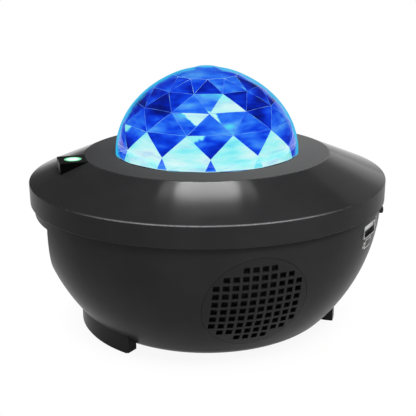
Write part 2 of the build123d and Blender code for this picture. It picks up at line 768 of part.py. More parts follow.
def make_speaker_magnet():
    """Magnet ring between two slightly smaller steel plates."""
    back = speaker_face() - SPEAKER_DEPTH
    plates = front_rod(MAGNET_R - MAGNET_PLATE_IN, back - MAGNET_T, back, z=GRILLE_Z)
    ring = front_rod(MAGNET_R, back - MAGNET_T + MAGNET_PLATE_T, back - MAGNET_PLATE_T, z=GRILLE_Z)
    return plates + ring


# ---- Optics tray, light engine, wave disc ----


def make_optics_tray():
    tray = rod(TRAY_R, TRAY_Z, TRAY_TOP_Z)
    tray += tube(TRAY_R, TRAY_R - TRAY_T, TRAY_TOP_Z, TRAY_TOP_Z + TRAY_LIP)
    for turn in POST_ANGLES:
        ear = front_block(TRAY_EAR_R, TRAY_R - TRAY_T, POST_R, TRAY_Z, TRAY_TOP_Z)
        ear += rounded_end(TRAY_EAR_R, POST_R, TRAY_Z, TRAY_TOP_Z)
        tray += faced(ear, turn)
        x, y = place(POST_R, turn)
        tray -= rod(SHANK_R + SCREW_GAP, TRAY_Z, TRAY_TOP_Z, x, y)
        tray -= rod(COVER_BOSS_R + SEAM, TRAY_TOP_Z, TRAY_TOP_Z + TRAY_LIP, x, y)
    tray -= rod(LED_BOARD_R + SEAM, TRAY_Z, TRAY_TOP_Z)
    x, y = place(GRATING_AXIS_R, LASER_ANGLE)
    tray -= rod(GRATING_SHAFT_R + SHAFT_GAP, TRAY_Z, TRAY_TOP_Z + TRAY_LIP, x, y)
    x, y = place(GEAR_DISTANCE, MOTOR_ANGLE)
    return tray - rod(MOTOR_SHAFT_R + SHAFT_GAP, TRAY_Z, TRAY_TOP_Z, x, y)


def led_turns():
    return [360 / LED_COUNT * (index + 0.5) for index in range(LED_COUNT)]


def make_led_board():
    return tube(LED_BOARD_R, AXLE_SHOULDER_R + SEAM, SINK_TOP_Z, SINK_TOP_Z + LED_BOARD_T)


def make_led_chips():
    low = SINK_TOP_Z + LED_BOARD_T
    half = LED_SIDE / 2
    chip = front_block(half, LED_RING_R - half, LED_RING_R + half, low, low + LED_T)
    return [faced(chip, turn) for turn in led_turns()]


def make_led_lenses():
    """Low domes, hollow over each chip."""
    low = SINK_TOP_Z + LED_BOARD_T
    ball = (LED_LENS_R ** 2 + LED_LENS_H ** 2) / (2 * LED_LENS_H)
    cap = Pos(0, -LED_RING_R, low + LED_LENS_H - ball) * Sphere(ball)
    cap = cap & rod(LED_LENS_R + OVERRUN, low, low + LED_LENS_H + OVERRUN, y=-LED_RING_R)
    half = LED_SIDE / 2 + SEAM
    room = front_block(half, LED_RING_R - half, LED_RING_R + half, low, low + LED_T + SEAM)
    return [faced(cap - room, turn) for turn in led_turns()]


def make_heat_sink():
    low = SINK_TOP_Z - SINK_BASE_T
    sink = rod(SINK_R, low, SINK_TOP_Z)
    fins = int(SINK_R / SINK_FIN_PITCH)
    for index in range(-fins, fins + 1):
        x = index * SINK_FIN_PITCH
        half = sqrt(SINK_R ** 2 - (abs(x) + SINK_FIN_T / 2) ** 2)
        sink += block(x - SINK_FIN_T / 2, x + SINK_FIN_T / 2, -half, half, low - SINK_FIN_H, low)
    return sink


def make_disc_axle():
    shoulder = rod(AXLE_SHOULDER_R, SINK_TOP_Z, SHOULDER_Z)
    return shoulder + rod(AXLE_R, SHOULDER_Z, CLIP_Z + CLIP_T)


def make_axle_clip():
    return tube(CLIP_R, AXLE_R, CLIP_Z, CLIP_Z + CLIP_T)


def gear_solid(teeth, low, high):
    """Spur gear with straight flanks and room between the teeth."""
    pitch_r = GEAR_MODULE * teeth / 2
    root, tip = pitch_r - DEDENDUM * GEAR_MODULE, pitch_r + ADDENDUM * GEAR_MODULE
    corners = []
    for tooth in range(teeth):
        middle = 360 / teeth * tooth
        for radius, offset in ((root, -TOOTH_ROOT_W), (tip, -TOOTH_TIP_W), (tip, TOOTH_TIP_W), (root, TOOTH_ROOT_W)):
            corners.append(place(radius, middle + degrees(offset / 2 * GEAR_MODULE / radius)))
    return Pos(0, 0, low) * extrude(outline(*corners), high - low)


def make_disc_gear():
    gear = gear_solid(GEAR_TEETH, GEAR_Z, GEAR_TOP_Z)
    gear = gear.rotate(Axis.Z, MOTOR_ANGLE)
    ring_inner = GEAR_MODULE * GEAR_TEETH / 2 - GEAR_RIM
    gear -= rod(ring_inner, GEAR_Z, GEAR_TOP_Z)
    for index in range(SPOKES):
        spoke = front_block(SPOKE_W / 2, 0, ring_inner + GEAR_RIM / 2, GEAR_Z, GEAR_TOP_Z)
        gear += faced(spoke, 360 / SPOKES * index)
    gear += rod(HUB_R, GEAR_Z, HUB_TOP_Z)
    return gear - rod(AXLE_R + RUNNING_FIT, GEAR_Z, HUB_TOP_Z)


def make_wave_disc():
    """Clear disc with rings of rounded ripples on top."""
    inner = HUB_R + RUNNING_FIT
    width = (WAVE_DISC_R - inner) / WAVE_RIPPLES
    edges = []
    for index in range(WAVE_RIPPLES):
        start = inner + index * width
        middle = (start + width / 2, DISC_TOP_Z + WAVE_RIPPLE_H)
        edges += ThreePointArc((start, DISC_TOP_Z), middle, (start + width, DISC_TOP_Z)).edges()
    rest = Polyline((WAVE_DISC_R, DISC_TOP_Z), (WAVE_DISC_R, GEAR_TOP_Z), (inner, GEAR_TOP_Z), (inner, DISC_TOP_Z))
    return spun(make_face(edges + rest.edges()))


def make_wave_motor():
    x, y = place(GEAR_DISTANCE, MOTOR_ANGLE)
    bore = rod(MOTOR_SHAFT_R + RUNNING_FIT, TRAY_Z - MOTOR_H + MOTOR_FLOOR, TRAY_Z, x, y)
    case = rod(MOTOR_R, TRAY_Z - MOTOR_H, TRAY_Z, x, y)
    return chamfer(case.edges(), MOTOR_EDGE) - bore


def make_motor_shaft():
    x, y = place(GEAR_DISTANCE, MOTOR_ANGLE)
    return rod(MOTOR_SHAFT_R, TRAY_Z - MOTOR_H / 2, PINION_TOP_Z, x, y)


def make_motor_pinion():
    x, y = place(GEAR_DISTANCE, MOTOR_ANGLE)
    half_tooth = 180 / PINION_TEETH
    pinion = gear_solid(PINION_TEETH, GEAR_Z, PINION_TOP_Z).rotate(Axis.Z, MOTOR_ANGLE + 180 + half_tooth)
    return Pos(x, y, 0) * pinion - rod(MOTOR_SHAFT_R, GEAR_Z, PINION_TOP_Z, x, y)


# ---- Laser star unit ----


def make_laser_pod():
    """Flat-topped housing that stands through the cover, with a lip against the cover's underside."""
    low = TRAY_Z
    pod = front_block(POD_HALF, PLATEAU_R, POD_END_R, low, PLATEAU_Z)
    pod = fillet(pod.edges().filter_by(Axis.Z).group_by(Axis.Y)[0], POD_EDGE)
    lip = front_block(POD_HALF + POD_LIP_W, PLATEAU_R - POD_LIP_W, POD_END_R + POD_LIP_W, low, PLATEAU_Z)
    pod += lip & spun(cover_face(WALL, BAND_LOW_Z)[0])
    near, far = PLATEAU_R + POD_WALL, POD_END_R - POD_WALL
    pod -= front_block(POD_HALF - POD_WALL, near, far, low, PLATEAU_Z - POD_TOP_T)
    pod -= spun(cover_face(WALL + POD_LIP_T, BAND_LOW_Z)[0])
    pod -= rod(WINDOW_R - LEDGE_W, low, PLATEAU_Z, y=-LASER_R)
    pod -= rod(WINDOW_R + RUNNING_FIT, PLATEAU_Z - WINDOW_T, PLATEAU_Z, y=-LASER_R)
    return faced(pod, LASER_ANGLE)


def make_laser_window():
    return faced(rod(WINDOW_R, PLATEAU_Z - WINDOW_T, PLATEAU_Z, y=-LASER_R), LASER_ANGLE)


def make_laser_bracket():
    plate = front_block(BRACKET_HALF, BRACKET_INNER_R, BRACKET_OUTER_R, BRACKET_Z, TRAY_Z)
    plate = fillet(plate.edges().filter_by(Axis.Z), BRACKET_CORNER)
    plate -= rod(LASER_BARREL_R + RUNNING_FIT, BRACKET_Z, TRAY_Z, y=-LASER_R)
    plate -= rod(GRATING_SHAFT_R + SHAFT_GAP, BRACKET_Z, TRAY_Z, y=-GRATING_AXIS_R)
    return faced(plate, LASER_ANGLE)


def make_laser_module():
    top = TRAY_Z + LASER_BARREL_RISE
    barrel = rod(LASER_BARREL_R, top - LASER_BARREL_H, top, y=-LASER_R)
    barrel += rod(LASER_LIP_R, BRACKET_Z - LASER_BARREL_RISE, BRACKET_Z, y=-LASER_R)
    barrel -= rod(LASER_APERTURE_R, top - LASER_BARREL_RISE, top, y=-LASER_R)
    return faced(barrel, LASER_ANGLE)


def make_grating_motor():
    case = rod(GRATING_MOTOR_R, BRACKET_Z - GRATING_MOTOR_H, BRACKET_Z, y=-GRATING_AXIS_R)
    bore = rod(GRATING_SHAFT_R + RUNNING_FIT, BRACKET_Z - GRATING_MOTOR_H / 2, BRACKET_Z, y=-GRATING_AXIS_R)
    return faced(chamfer(case.edges(), MOTOR_EDGE) - bore, LASER_ANGLE)


def make_grating_shaft():
    low = BRACKET_Z - GRATING_MOTOR_H / 2 + MOVING_GAP
    return faced(rod(GRATING_SHAFT_R, low, GRATING_Z + GRATING_T, y=-GRATING_AXIS_R), LASER_ANGLE)


def make_star_grating():
    disc = rod(GRATING_R, GRATING_Z, GRATING_Z + GRATING_T, y=-GRATING_AXIS_R)
    disc += rod(GRATING_HUB_R, GRATING_Z - MOVING_GAP, GRATING_Z, y=-GRATING_AXIS_R)
    disc -= rod(GRATING_SHAFT_R, GRATING_Z - MOVING_GAP, GRATING_Z + GRATING_T, y=-GRATING_AXIS_R)
    return faced(disc, LASER_ANGLE)


# ---- Sockets and their boards ----


def folded_shell(width, height, length, sheet, face_at, middle_z):
    """Rectangular metal shell, open to the front and closed at the back."""
    shell = front_block(width / 2, face_at - length, face_at, middle_z - height / 2, middle_z + height / 2)
    shell = fillet(shell.edges().filter_by(Axis.Y), sheet)
    low, high = middle_z - height / 2 + sheet, middle_z + height / 2 - sheet
    return shell - front_block(width / 2 - sheet, face_at - length + sheet, face_at, low, high)


def make_usb_shell():
    return faced(folded_shell(USB_W, USB_H, USB_L, USB_SHEET, usb_face(), USB_Z), USB_ANGLE)


def make_usb_tongue():
    low = USB_LOW_Z + USB_SHEET + TONGUE_SIDE
    near = usb_face() - USB_L + USB_SHEET
    half = USB_W / 2 - USB_SHEET - TONGUE_SIDE
    tongue = front_block(half, near, usb_face() - TONGUE_BACK, low, low + TONGUE_T)
    return faced(tongue, USB_ANGLE)


def make_port_board():
    far = port_board_far()
    board = front_block(PORT_BOARD_HALF, far - PORT_BOARD_L, far, USB_LOW_Z - BOARD_T, USB_LOW_Z)
    return faced(board, USB_ANGLE)


def make_inlet_shell():
    return faced(folded_shell(INLET_W, INLET_H, INLET_L, INLET_SHEET, inlet_face(), INLET_Z), RECESS_ANGLE)


def make_inlet_tongue():
    half = INLET_W / 2 - INLET_SHEET - INLET_TONGUE_SIDE
    near = inlet_face() - INLET_L + INLET_SHEET
    low, high = INLET_Z - INLET_TONGUE_T / 2, INLET_Z + INLET_TONGUE_T / 2
    return faced(front_block(half, near, inlet_face() - INLET_SHEET, low, high), RECESS_ANGLE)


def make_inlet_board():
    far, low = inlet_board_far(), INLET_LOW_Z - BOARD_T
    return faced(front_block(INLET_BOARD_HALF, far - INLET_BOARD_L, far, low, INLET_LOW_Z), RECESS_ANGLE)


# ---- Buttons ----


def button_reach(offset):
    """Distance of the bowl's surface from the axis, along a button's own line."""
    return sqrt(bowl_radius(BUTTON_Z) ** 2 - offset ** 2)


def make_button(offset):
    tip = button_reach(offset) + BUTTON_PROUD
    flange = wall_distance(BUTTON_Z - BUTTON_FLANGE_R, abs(offset) + BUTTON_FLANGE_R) - MOVING_GAP
    end = switch_face() + SWITCH_BOTTOM + PRESS_DEPTH
    cap = front_rod(BUTTON_R, flange - BUTTON_FLANGE_T, tip, offset, BUTTON_Z)
    cap = fillet(cap.edges().group_by(Axis.Y)[0], BUTTON_EDGE)
    cap += front_rod(BUTTON_FLANGE_R, flange - BUTTON_FLANGE_T, flange, offset, BUTTON_Z)
    cap += front_rod(BUTTON_STEM_R, end, flange, offset, BUTTON_Z)
    return faced(cap, BUTTON_ANGLE)


def make_button_board():
    half = BUTTON_PITCH * (BUTTON_COUNT - 1) / 2 + BUTTON_BOARD_MARGIN
    low, high = BUTTON_Z - BUTTON_BOARD_H / 2, BUTTON_Z + BUTTON_BOARD_H / 2
    return faced(front_block(half, switch_face() - BOARD_T, switch_face(), low, high), BUTTON_ANGLE)


def make_button_switches():
    near = switch_face()
    half = SWITCH_SIDE / 2
    switches = []
    for offset in button_offsets():
        body = front_block(half, near, near + SWITCH_T, BUTTON_Z - half, BUTTON_Z + half, offset)
        body -= front_rod(BUTTON_STEM_R + MOVING_GAP, near + SWITCH_BOTTOM, near + SWITCH_T, offset, BUTTON_Z)
        switches.append(faced(body, BUTTON_ANGLE))
    return switches


# ---- Main board ----


def make_main_board():
    half_x, half_y = MAIN_BOARD_X / 2, MAIN_BOARD_Y / 2
    low_y, high_y = MAIN_BOARD_CENTRE_Y - half_y, MAIN_BOARD_CENTRE_Y + half_y
    board = block(-half_x, half_x, low_y, high_y, MAIN_BOARD_Z, MAIN_BOARD_Z + BOARD_T)
    for x, y in board_standoffs():
        board -= rod(SMALL_SHANK_R + SCREW_GAP, MAIN_BOARD_Z, MAIN_BOARD_Z + BOARD_T, x, y)
    return board


def make_board_screws():
    seat = MAIN_BOARD_Z + BOARD_T
    low = MAIN_BOARD_Z - STANDOFF_THREAD + TIP_ROOM
    screws = []
    for x, y in board_standoffs():
        head = rod(SMALL_HEAD_R, seat, seat + SMALL_HEAD_T, x, y)
        screws.append(head + rod(SMALL_SHANK_R - RUNNING_FIT, low, seat, x, y))
    return screws


def make_board_parts():
    """Chips and capacitors on the main board."""
    low = MAIN_BOARD_Z + BOARD_T
    half = CHIP_SIDE / 2
    parts = []
    for x, y in CHIP_SPOTS:
        middle = MAIN_BOARD_CENTRE_Y + y
        parts.append(block(x - half, x + half, middle - half, middle + half, low, low + CHIP_T))
    y = MAIN_BOARD_CENTRE_Y - MAIN_BOARD_Y / 2 + CAPACITOR_R + CAPACITOR_EDGE
    for index in range(CAPACITOR_COUNT):
        x = (index - (CAPACITOR_COUNT - 1) / 2) * CAPACITOR_PITCH
        parts.append(rod(CAPACITOR_R, low, low + CAPACITOR_H, x, y))
    return parts


# ---- All nodes ----


def all_nodes():
    nodes = {
        "top_cover": make_top_cover(),
        "lower_bowl": make_lower_bowl(),
        "left_foot_pad": foot_pad(LEFT_FOOT_FRONT - FOOT_SPAN),
        "right_foot_pad": foot_pad(RIGHT_FOOT_FRONT),
        "dome_lens": make_dome_lens(),
        "dome_ring": make_dome_ring(),
        "ring_screws": make_ring_screws(),
        "case_screws": make_case_screws(),
        "speaker_grille": make_speaker_grille(),
        "speaker_frame": make_speaker_frame(),
        "speaker_cone": make_speaker_cone(),
        "speaker_magnet": make_speaker_magnet(),
        "optics_tray": make_optics_tray(),
        "led_board": make_led_board(),
        "led_chips": make_led_chips(),
        "led_lenses": make_led_lenses(),
        "heat_sink": make_heat_sink(),
        "disc_axle": make_disc_axle(),
        "axle_clip": make_axle_clip(),
        "disc_gear": make_disc_gear(),
        "wave_disc": make_wave_disc(),
        "wave_motor": make_wave_motor(),
        "motor_shaft": make_motor_shaft(),
        "motor_pinion": make_motor_pinion(),
        "laser_pod": make_laser_pod(),
        "laser_window": make_laser_window(),
        "laser_bracket": make_laser_bracket(),
        "laser_module": make_laser_module(),
        "grating_motor": make_grating_motor(),
        "grating_shaft": make_grating_shaft(),
        "star_grating": make_star_grating(),
        "usb_shell": make_usb_shell(),
        "usb_tongue": make_usb_tongue(),
        "port_board": make_port_board(),
        "inlet_shell": make_inlet_shell(),
        "inlet_tongue": make_inlet_tongue(),
        "inlet_board": make_inlet_board(),
        "button_board": make_button_board(),
        "button_switches": make_button_switches(),
        "main_board": make_main_board(),
        "board_screws": make_board_screws(),
        "board_parts": make_board_parts(),
    }
    for index, offset in enumerate(button_offsets(), 1):
        nodes[f"button_{index}"] = make_button(offset)
    return nodes


os.makedirs("parts", exist_ok=True)
for name, shape in all_nodes().items():
    solids = shape if isinstance(shape, list) else shape.solids()
    whole = Compound(children=[solid for piece in solids for solid in piece.solids()])
    export_step(whole, f"parts/{name}.step")
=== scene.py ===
import json
import math
import random

import bmesh
import bpy
from mathutils import Matrix, Vector


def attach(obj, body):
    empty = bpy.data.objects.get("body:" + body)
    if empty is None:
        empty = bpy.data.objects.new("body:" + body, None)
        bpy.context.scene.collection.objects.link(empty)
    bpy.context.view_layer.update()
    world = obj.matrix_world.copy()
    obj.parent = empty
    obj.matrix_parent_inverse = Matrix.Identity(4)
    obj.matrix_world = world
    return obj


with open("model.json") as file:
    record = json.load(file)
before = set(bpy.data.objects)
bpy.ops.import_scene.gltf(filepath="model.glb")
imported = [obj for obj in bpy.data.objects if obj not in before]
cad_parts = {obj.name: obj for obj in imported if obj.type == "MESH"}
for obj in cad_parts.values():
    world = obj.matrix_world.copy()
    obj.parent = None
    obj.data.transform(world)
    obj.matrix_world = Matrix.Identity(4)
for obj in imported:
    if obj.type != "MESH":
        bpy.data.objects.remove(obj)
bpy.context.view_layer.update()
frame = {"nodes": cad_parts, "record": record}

# Star night light projector, dressed. Metres, +Z up, the speaker faces -Y.
# An azimuth is in degrees, 0 at the front, growing towards +X.

MM = 0.001
WHITE = (1.0, 1.0, 1.0, 1.0)

# Sizes of the case that the finishes and new pieces share
RIM_R = 84.5 * MM
RIM_Z = 71.3 * MM
BAND_LOW_Z = 61.3 * MM
PLATEAU_R = 58.2 * MM
PLATEAU_Z = 82.1 * MM
DOME_R = 43.5 * MM
DOME_H = 39.9 * MM
DOME_POWER = 1.13
LENS_WALL = 1.8 * MM
GRILLE_Z = 33.2 * MM
LASER_R = 64.0 * MM

# Facets of the dome's hollow: rings of corners, alternate rings turned by half a step
FACETS_ROUND = 12
FACET_STEP = 360 / FACETS_ROUND
FACET_ANGLE = -13.0
FACET_LATITUDES = (7.7, 22.4, 37.1, 51.8, 66.5)
BASE_FACET_HALF = 3.5      # half the width of a narrow base facet, in degrees
GLOW_BITE = 0.06 * MM      # how far the lit skin bites into the lens, so that no air gap mirrors
GLOW_WALL = 0.5 * MM
RIB_BITE = 0.12 * MM
RIB_W = 0.34 * MM


# ---- Places ----


def place(radius, azimuth, height=0.0):
    turn = math.radians(azimuth)
    return Vector((radius * math.sin(turn), -radius * math.cos(turn), height))


def dome_point(latitude, inset=0.0):
    """Radius and height of the dome's outline."""
    turn = math.radians(latitude)
    radius = (DOME_R - inset) * math.cos(turn) ** DOME_POWER
    return radius, PLATEAU_Z + (DOME_H - inset) * math.sin(turn)


# ---- Shader writing ----


def linear(red, green, blue):
    """A display colour, each part from 0 to 255, as the shader's numbers."""
    parts = []
    for part in (red / 255, green / 255, blue / 255):
        parts.append(part / 12.92 if part <= 0.04045 else ((part + 0.055) / 1.055) ** 2.4)
    return (*parts, 1.0)


class Field:
    """A value in a finish's node tree. Sums and products of fields add Math nodes."""

    def __init__(self, finish, socket):
        self.finish = finish
        self.socket = socket

    def math(self, operation, *others):
        return self.finish.math(operation, self, *others)

    def __add__(self, other):
        return self.finish.math("ADD", self, other)

    __radd__ = __add__

    def __mul__(self, other):
        return self.finish.math("MULTIPLY", self, other)

    __rmul__ = __mul__

    def __sub__(self, other):
        return self.finish.math("SUBTRACT", self, other)

    def __rsub__(self, other):
        return self.finish.math("SUBTRACT", other, self)

    def __truediv__(self, other):
        return self.finish.math("DIVIDE", self, other)

    def clamp(self, low=0.0, high=1.0):
        return self.math("MAXIMUM", low).math("MINIMUM", high)

    def step(self, low, high):
        """0 below low, 1 above high and smooth between them. low may be the larger one."""
        share = ((self - low) / (high - low)).clamp()
        return share * share * (3.0 - 2.0 * share)

    def near(self, middle, width):
        """1 at the middle value, falling smoothly to 0 at that distance from it."""
        return (self - middle).math("ABSOLUTE").step(width, 0.0)

    def hypot(self, other):
        """Distance from the origin of the point with these two coordinates."""
        return (self * self + other * other).math("SQRT")


class Finish:
    """One material: a Principled shader and the nodes that feed it."""

    def __init__(self, name, **constants):
        self.material = bpy.data.materials.new(name)
        self.material.use_nodes = True
        self.tree = self.material.node_tree
        self.shader = self.tree.nodes["Principled BSDF"]
        for socket, value in constants.items():
            self.set(socket.replace("_", " "), value)

    def put(self, socket, value):
        if isinstance(value, Field):
            self.tree.links.new(value.socket, socket)
        else:
            socket.default_value = value

    def set(self, socket, value):
        self.put(self.shader.inputs[socket], value)

    def node(self, kind, settings=None, inputs=None, output=0):
        """Any node: its settings first, then its sockets, and one of its outputs back."""
        node = self.tree.nodes.new(kind)
        for key, value in (settings or {}).items():
            if key == "stops":
                ramp = node.color_ramp
                while len(ramp.elements) < len(value):
                    ramp.elements.new(0.5)
                for element, (position, colour) in zip(ramp.elements, value):
                    element.position = position
                    element.color = colour
            else:
                setattr(node, key, value)
        for key, value in (inputs or {}).items():
            self.put(node.inputs[key], value)
        return Field(self, node.outputs[output])

    def math(self, operation, *operands):
        return self.node("ShaderNodeMath", {"operation": operation}, dict(enumerate(operands)))

    def coordinates(self):
        return self.node("ShaderNodeTexCoord", output="Object")

    def axes(self):
        """X, Y and Z of the surface point in millimetres."""
        node = self.tree.nodes.new("ShaderNodeSeparateXYZ")
        self.put(node.inputs[0], self.coordinates())
        return [Field(self, output) * (1 / MM) for output in node.outputs]

    def attribute(self, name, output="Fac"):
        return self.node("ShaderNodeAttribute", {"attribute_name": name}, output=output)

    def scaled(self, size, squeeze=(1.0, 1.0, 1.0), where=None):
        """Coordinates for a pattern of that size in metres, made finer along each axis by squeeze."""
        return self.node(
            "ShaderNodeMapping", {"vector_type": "POINT"},
            {"Vector": where or self.coordinates(), "Scale": tuple(part / size for part in squeeze)},
        )

    def noise(self, size, detail=2.0, rough=0.5, squeeze=(1.0, 1.0, 1.0), where=None):
        """Noise from 0 to 1 with blobs of about that size in metres."""
        scaled = self.scaled(size, squeeze, where)
        return self.node(
            "ShaderNodeTexNoise", {"noise_dimensions": "3D"},
            {"Vector": scaled, "Scale": 1.0, "Detail": detail, "Roughness": rough},
        )

    def cells(self, size, feature="F1"):
        """Distance to the middle of the nearest cell, or to the edge between two cells."""
        return self.node(
            "ShaderNodeTexVoronoi", {"feature": feature}, {"Vector": self.scaled(size), "Scale": 1.0},
            output="Distance",
        )

    def ramp(self, value, *stops):
        return self.node("ShaderNodeValToRGB", {"stops": stops}, {"Fac": value})

    def mix(self, share, first, second):
        """Blends two colours. Inputs 6 and 7 and output 2 are the node's sockets for colours."""
        node = self.tree.nodes.new("ShaderNodeMix")
        node.data_type = "RGBA"
        for index, value in ((0, share), (6, first), (7, second)):
            self.put(node.inputs[index], value)
        return Field(self, node.outputs[2])

    def blend(self, share, colour):
        """Lets that share of the surface show a plain glow of that colour instead."""
        glow = self.tree.nodes.new("ShaderNodeEmission")
        self.put(glow.inputs["Color"], colour)
        mixed = self.tree.nodes.new("ShaderNodeMixShader")
        self.put(mixed.inputs[0], share)
        self.tree.links.new(self.shader.outputs[0], mixed.inputs[1])
        self.tree.links.new(glow.outputs[0], mixed.inputs[2])
        self.tree.links.new(mixed.outputs[0], self.tree.nodes["Material Output"].inputs[0])

    def bump(self, height, depth, strength=1.0):
        """Makes the surface rise by that depth in metres where height is 1."""
        sockets = {"Height": height, "Distance": depth, "Strength": strength}
        self.set("Normal", self.node("ShaderNodeBump", None, sockets))


# ---- Finishes ----

PAINTED_SHEEN_ANGLE = -15.1       # azimuth where the rim's painted sheen is palest, the side that faces the camera
RIM_PAINTED_SHEEN = linear(172, 172, 174)    # painted reflection: this pale colour stands in for the light that the rim's edge mirrors there
WEAR_LIGHTER = 2.2         # how much lighter a worn edge is than the plastic


def moulded_plastic(name, dark, light, rough, grain=0.12, depth=0.012, specular=0.5, wear=None):
    """Moulded plastic with a spark-eroded grain, faint flow clouds and edges worn pale and smooth by
    use; where wear is given, also a painted sheen on the rim's upper edge.
    """
    finish = Finish(name, Specular_IOR_Level=specular)
    clouds = finish.noise(26 * MM, 3.0)
    grains = finish.noise(grain * MM * 3, 3.0, 0.6)
    pits = finish.cells(grain * MM * 5)
    colour = finish.mix((clouds - 0.35).clamp() * 1.6, dark, light)
    roughness = rough + (grains - 0.5) * 0.12 + (clouds - 0.5) * 0.06
    if wear:
        # wear gives two masks: the rim's painted sheen, a stand-in for a reflection, and the edges worn
        # by use
        line, edges = wear(finish)
        worn = edges * finish.noise(1.4 * MM, 3.0).step(0.42, 0.6)
        pale = tuple(min(1.0, part * WEAR_LIGHTER) for part in light)
        # painted reflection: the rim's upper edge is painted pale, palest at one side
        colour = finish.mix(line * (0.6 + clouds * 0.4), colour, RIM_PAINTED_SHEEN)
        colour = finish.mix(worn * 0.5, colour, pale)
        smooth = finish.axes()[2].step(RIM_Z / MM - 0.6, RIM_Z / MM)
        roughness = roughness - worn * 0.12 - smooth * 0.18
    finish.set("Base Color", colour)
    finish.set("Roughness", roughness.clamp(0.05, 1.0))
    finish.bump(grains * 0.6 + pits * 0.4, depth * MM, 0.5)
    return finish.material


def rim_sheen_and_worn_edges(finish):
    """Two masks: the rim's upper edge, painted pale towards one side as a stand-in for a reflection, and
    the edges that get touched, the rim among them.
    """
    x, y, z = finish.axes()
    radius = x.hypot(y)
    # the side where the rim's painted sheen is palest
    sheen_side = place(1.0, PAINTED_SHEEN_ANGLE)
    front = (x * sheen_side.x + y * sheen_side.y) / (RIM_R / MM)
    rim = radius.near(RIM_R / MM, 0.9) * z.near(RIM_Z / MM - 0.1, 0.42)
    low = z.near(BAND_LOW_Z / MM, 0.5) * radius.step(RIM_R / MM - 1.1, RIM_R / MM - 0.5)
    plateau = radius.near(PLATEAU_R / MM, 1.2) * z.step(PLATEAU_Z / MM - 0.8, PLATEAU_Z / MM - 0.2)
    # first the painted sheen, strongest towards that side, then the worn edges
    return rim * front.step(0.72, 0.98), rim + low + plateau * 0.5


def metal(name, dark, light, rough, streak=(1.0, 1.0, 12.0), size=0.5):
    """Drawn or brushed metal: fine streaks and stains."""
    finish = Finish(name, Metallic=1.0)
    streaks = finish.noise(size * MM, 4.0, 0.6, squeeze=streak)
    stains = finish.noise(7 * MM, 3.0)
    finish.set("Base Color", finish.mix((streaks * 0.6 + stains * 0.4).step(0.3, 0.7), dark, light))
    finish.set("Roughness", (rough + (streaks - 0.5) * 0.2 + (stains - 0.5) * 0.15).clamp(0.05, 1.0))
    finish.bump(streaks, 0.004 * MM, 0.6)
    return finish.material


def clear_plastic(name, tint, rough, edge=None):
    """Clear moulded plastic with faint waves and a little dust, and, where edge is given, a painted glow
    of that colour along its outline.
    """
    finish = Finish(name, IOR=1.49, Transmission_Weight=1.0)
    waves = finish.noise(6 * MM, 2.0)
    dust = finish.noise(0.5 * MM, 4.0, 0.7).step(0.66, 0.8)
    finish.set("Base Color", finish.mix(waves * 0.5, tint, WHITE))
    finish.set("Roughness", (rough + dust * 0.05).clamp())
    finish.bump(waves, 0.01 * MM, 0.3)
    # painted glow: where the surface turns edge-on, a plain glow of the edge colour stands in for light
    # along the outline
    if edge:
        weight = finish.tree.nodes.new("ShaderNodeLayerWeight")
        weight.inputs["Blend"].default_value = 0.5
        uneven = (finish.noise(5 * MM, 3.0, 0.6) - 0.5) * 0.25
        facing = Field(finish, weight.outputs["Facing"]) + uneven
        finish.blend(facing.step(0.7, 0.85) * 0.92, edge)
    return finish.material


def circuit_board(name):
    """Green solder mask over copper tracks, with a weave that shows through."""
    finish = Finish(name, Coat_Roughness=0.2)
    x, y = finish.axes()[:2]
    tracks = finish.cells(4 * MM, "DISTANCE_TO_EDGE")
    copper = tracks.step(0.09, 0.05)
    weave = (x * 9.0).math("SINE") * (y * 9.0).math("SINE")
    colour = finish.mix(copper, linear(12, 74, 40), linear(36, 122, 62))
    finish.set("Base Color", finish.mix(weave.step(0.2, 0.9) * 0.15, colour, linear(60, 130, 80)))
    finish.set("Roughness", 0.35 + copper * 0.1)
    finish.set("Coat Weight", 0.4)
    finish.bump(copper + weave * 0.1, 0.03 * MM, 0.6)
    return finish.material


def paper_cone(name):
    """Pressed paper with fibres and rings about the speaker's axis."""
    finish = Finish(name)
    side, height = finish.axes()[::2]
    rings = (side.hypot(height - GRILLE_Z / MM) * 2.6).math("SINE")
    fibres = finish.noise(0.5 * MM, 4.0, 0.7)
    finish.set("Base Color", finish.mix(fibres, linear(22, 22, 23), linear(48, 47, 46)))
    finish.set("Roughness", 0.75 + (fibres - 0.5) * 0.2)
    finish.bump(rings * 0.4 + fibres, 0.06 * MM, 0.7)
    return finish.material


def rubber(name):
    """Matte rubber with a fine grain and some dust on it."""
    finish = Finish(name, Specular_IOR_Level=0.3)
    dust = finish.noise(3 * MM, 4.0, 0.65)
    grain = finish.noise(0.25 * MM, 3.0)
    dusty = finish.mix(dust.step(0.5, 0.75) * 0.5, linear(20, 20, 20), linear(62, 60, 58))
    finish.set("Base Color", dusty)
    finish.set("Roughness", (0.8 + (grain - 0.5) * 0.2).clamp())
    finish.bump(grain, 0.03 * MM, 0.6)
    return finish.material


def window_glow(name):
    """Pale green window that glows, brightest in the middle and dimming to a darker ring at its edge,
    where it sits in its ledge.
    """
    finish = Finish(name, Emission_Strength=1.0, Roughness=0.12)
    x, y = finish.axes()[:2]
    radius = (x + LASER_R / MM).hypot(y)
    haze = finish.noise(2.2 * MM, 3.0)
    glow = radius.step(4.2, 1.5) * 0.75 + haze * 0.3
    colour = finish.ramp(
        glow,
        (0.0, linear(20, 90, 50)), (0.35, linear(120, 225, 170)),
        (0.7, linear(205, 252, 228)), (1.0, linear(250, 255, 252)),
    )
    finish.set("Base Color", linear(60, 120, 90))
    finish.set("Emission Color", colour)
    return finish.material


def printed_ink(name):
    """White ink, rubbed thin here and there."""
    finish = Finish(name, Specular_IOR_Level=0.3)
    wear = finish.noise(0.35 * MM, 4.0, 0.7)
    rubbed = finish.mix(wear.step(0.55, 0.75) * 0.6, linear(214, 214, 212), linear(120, 120, 120))
    finish.set("Base Color", rubbed)
    finish.set("Roughness", 0.55 + (wear - 0.5) * 0.2)
    return finish.material


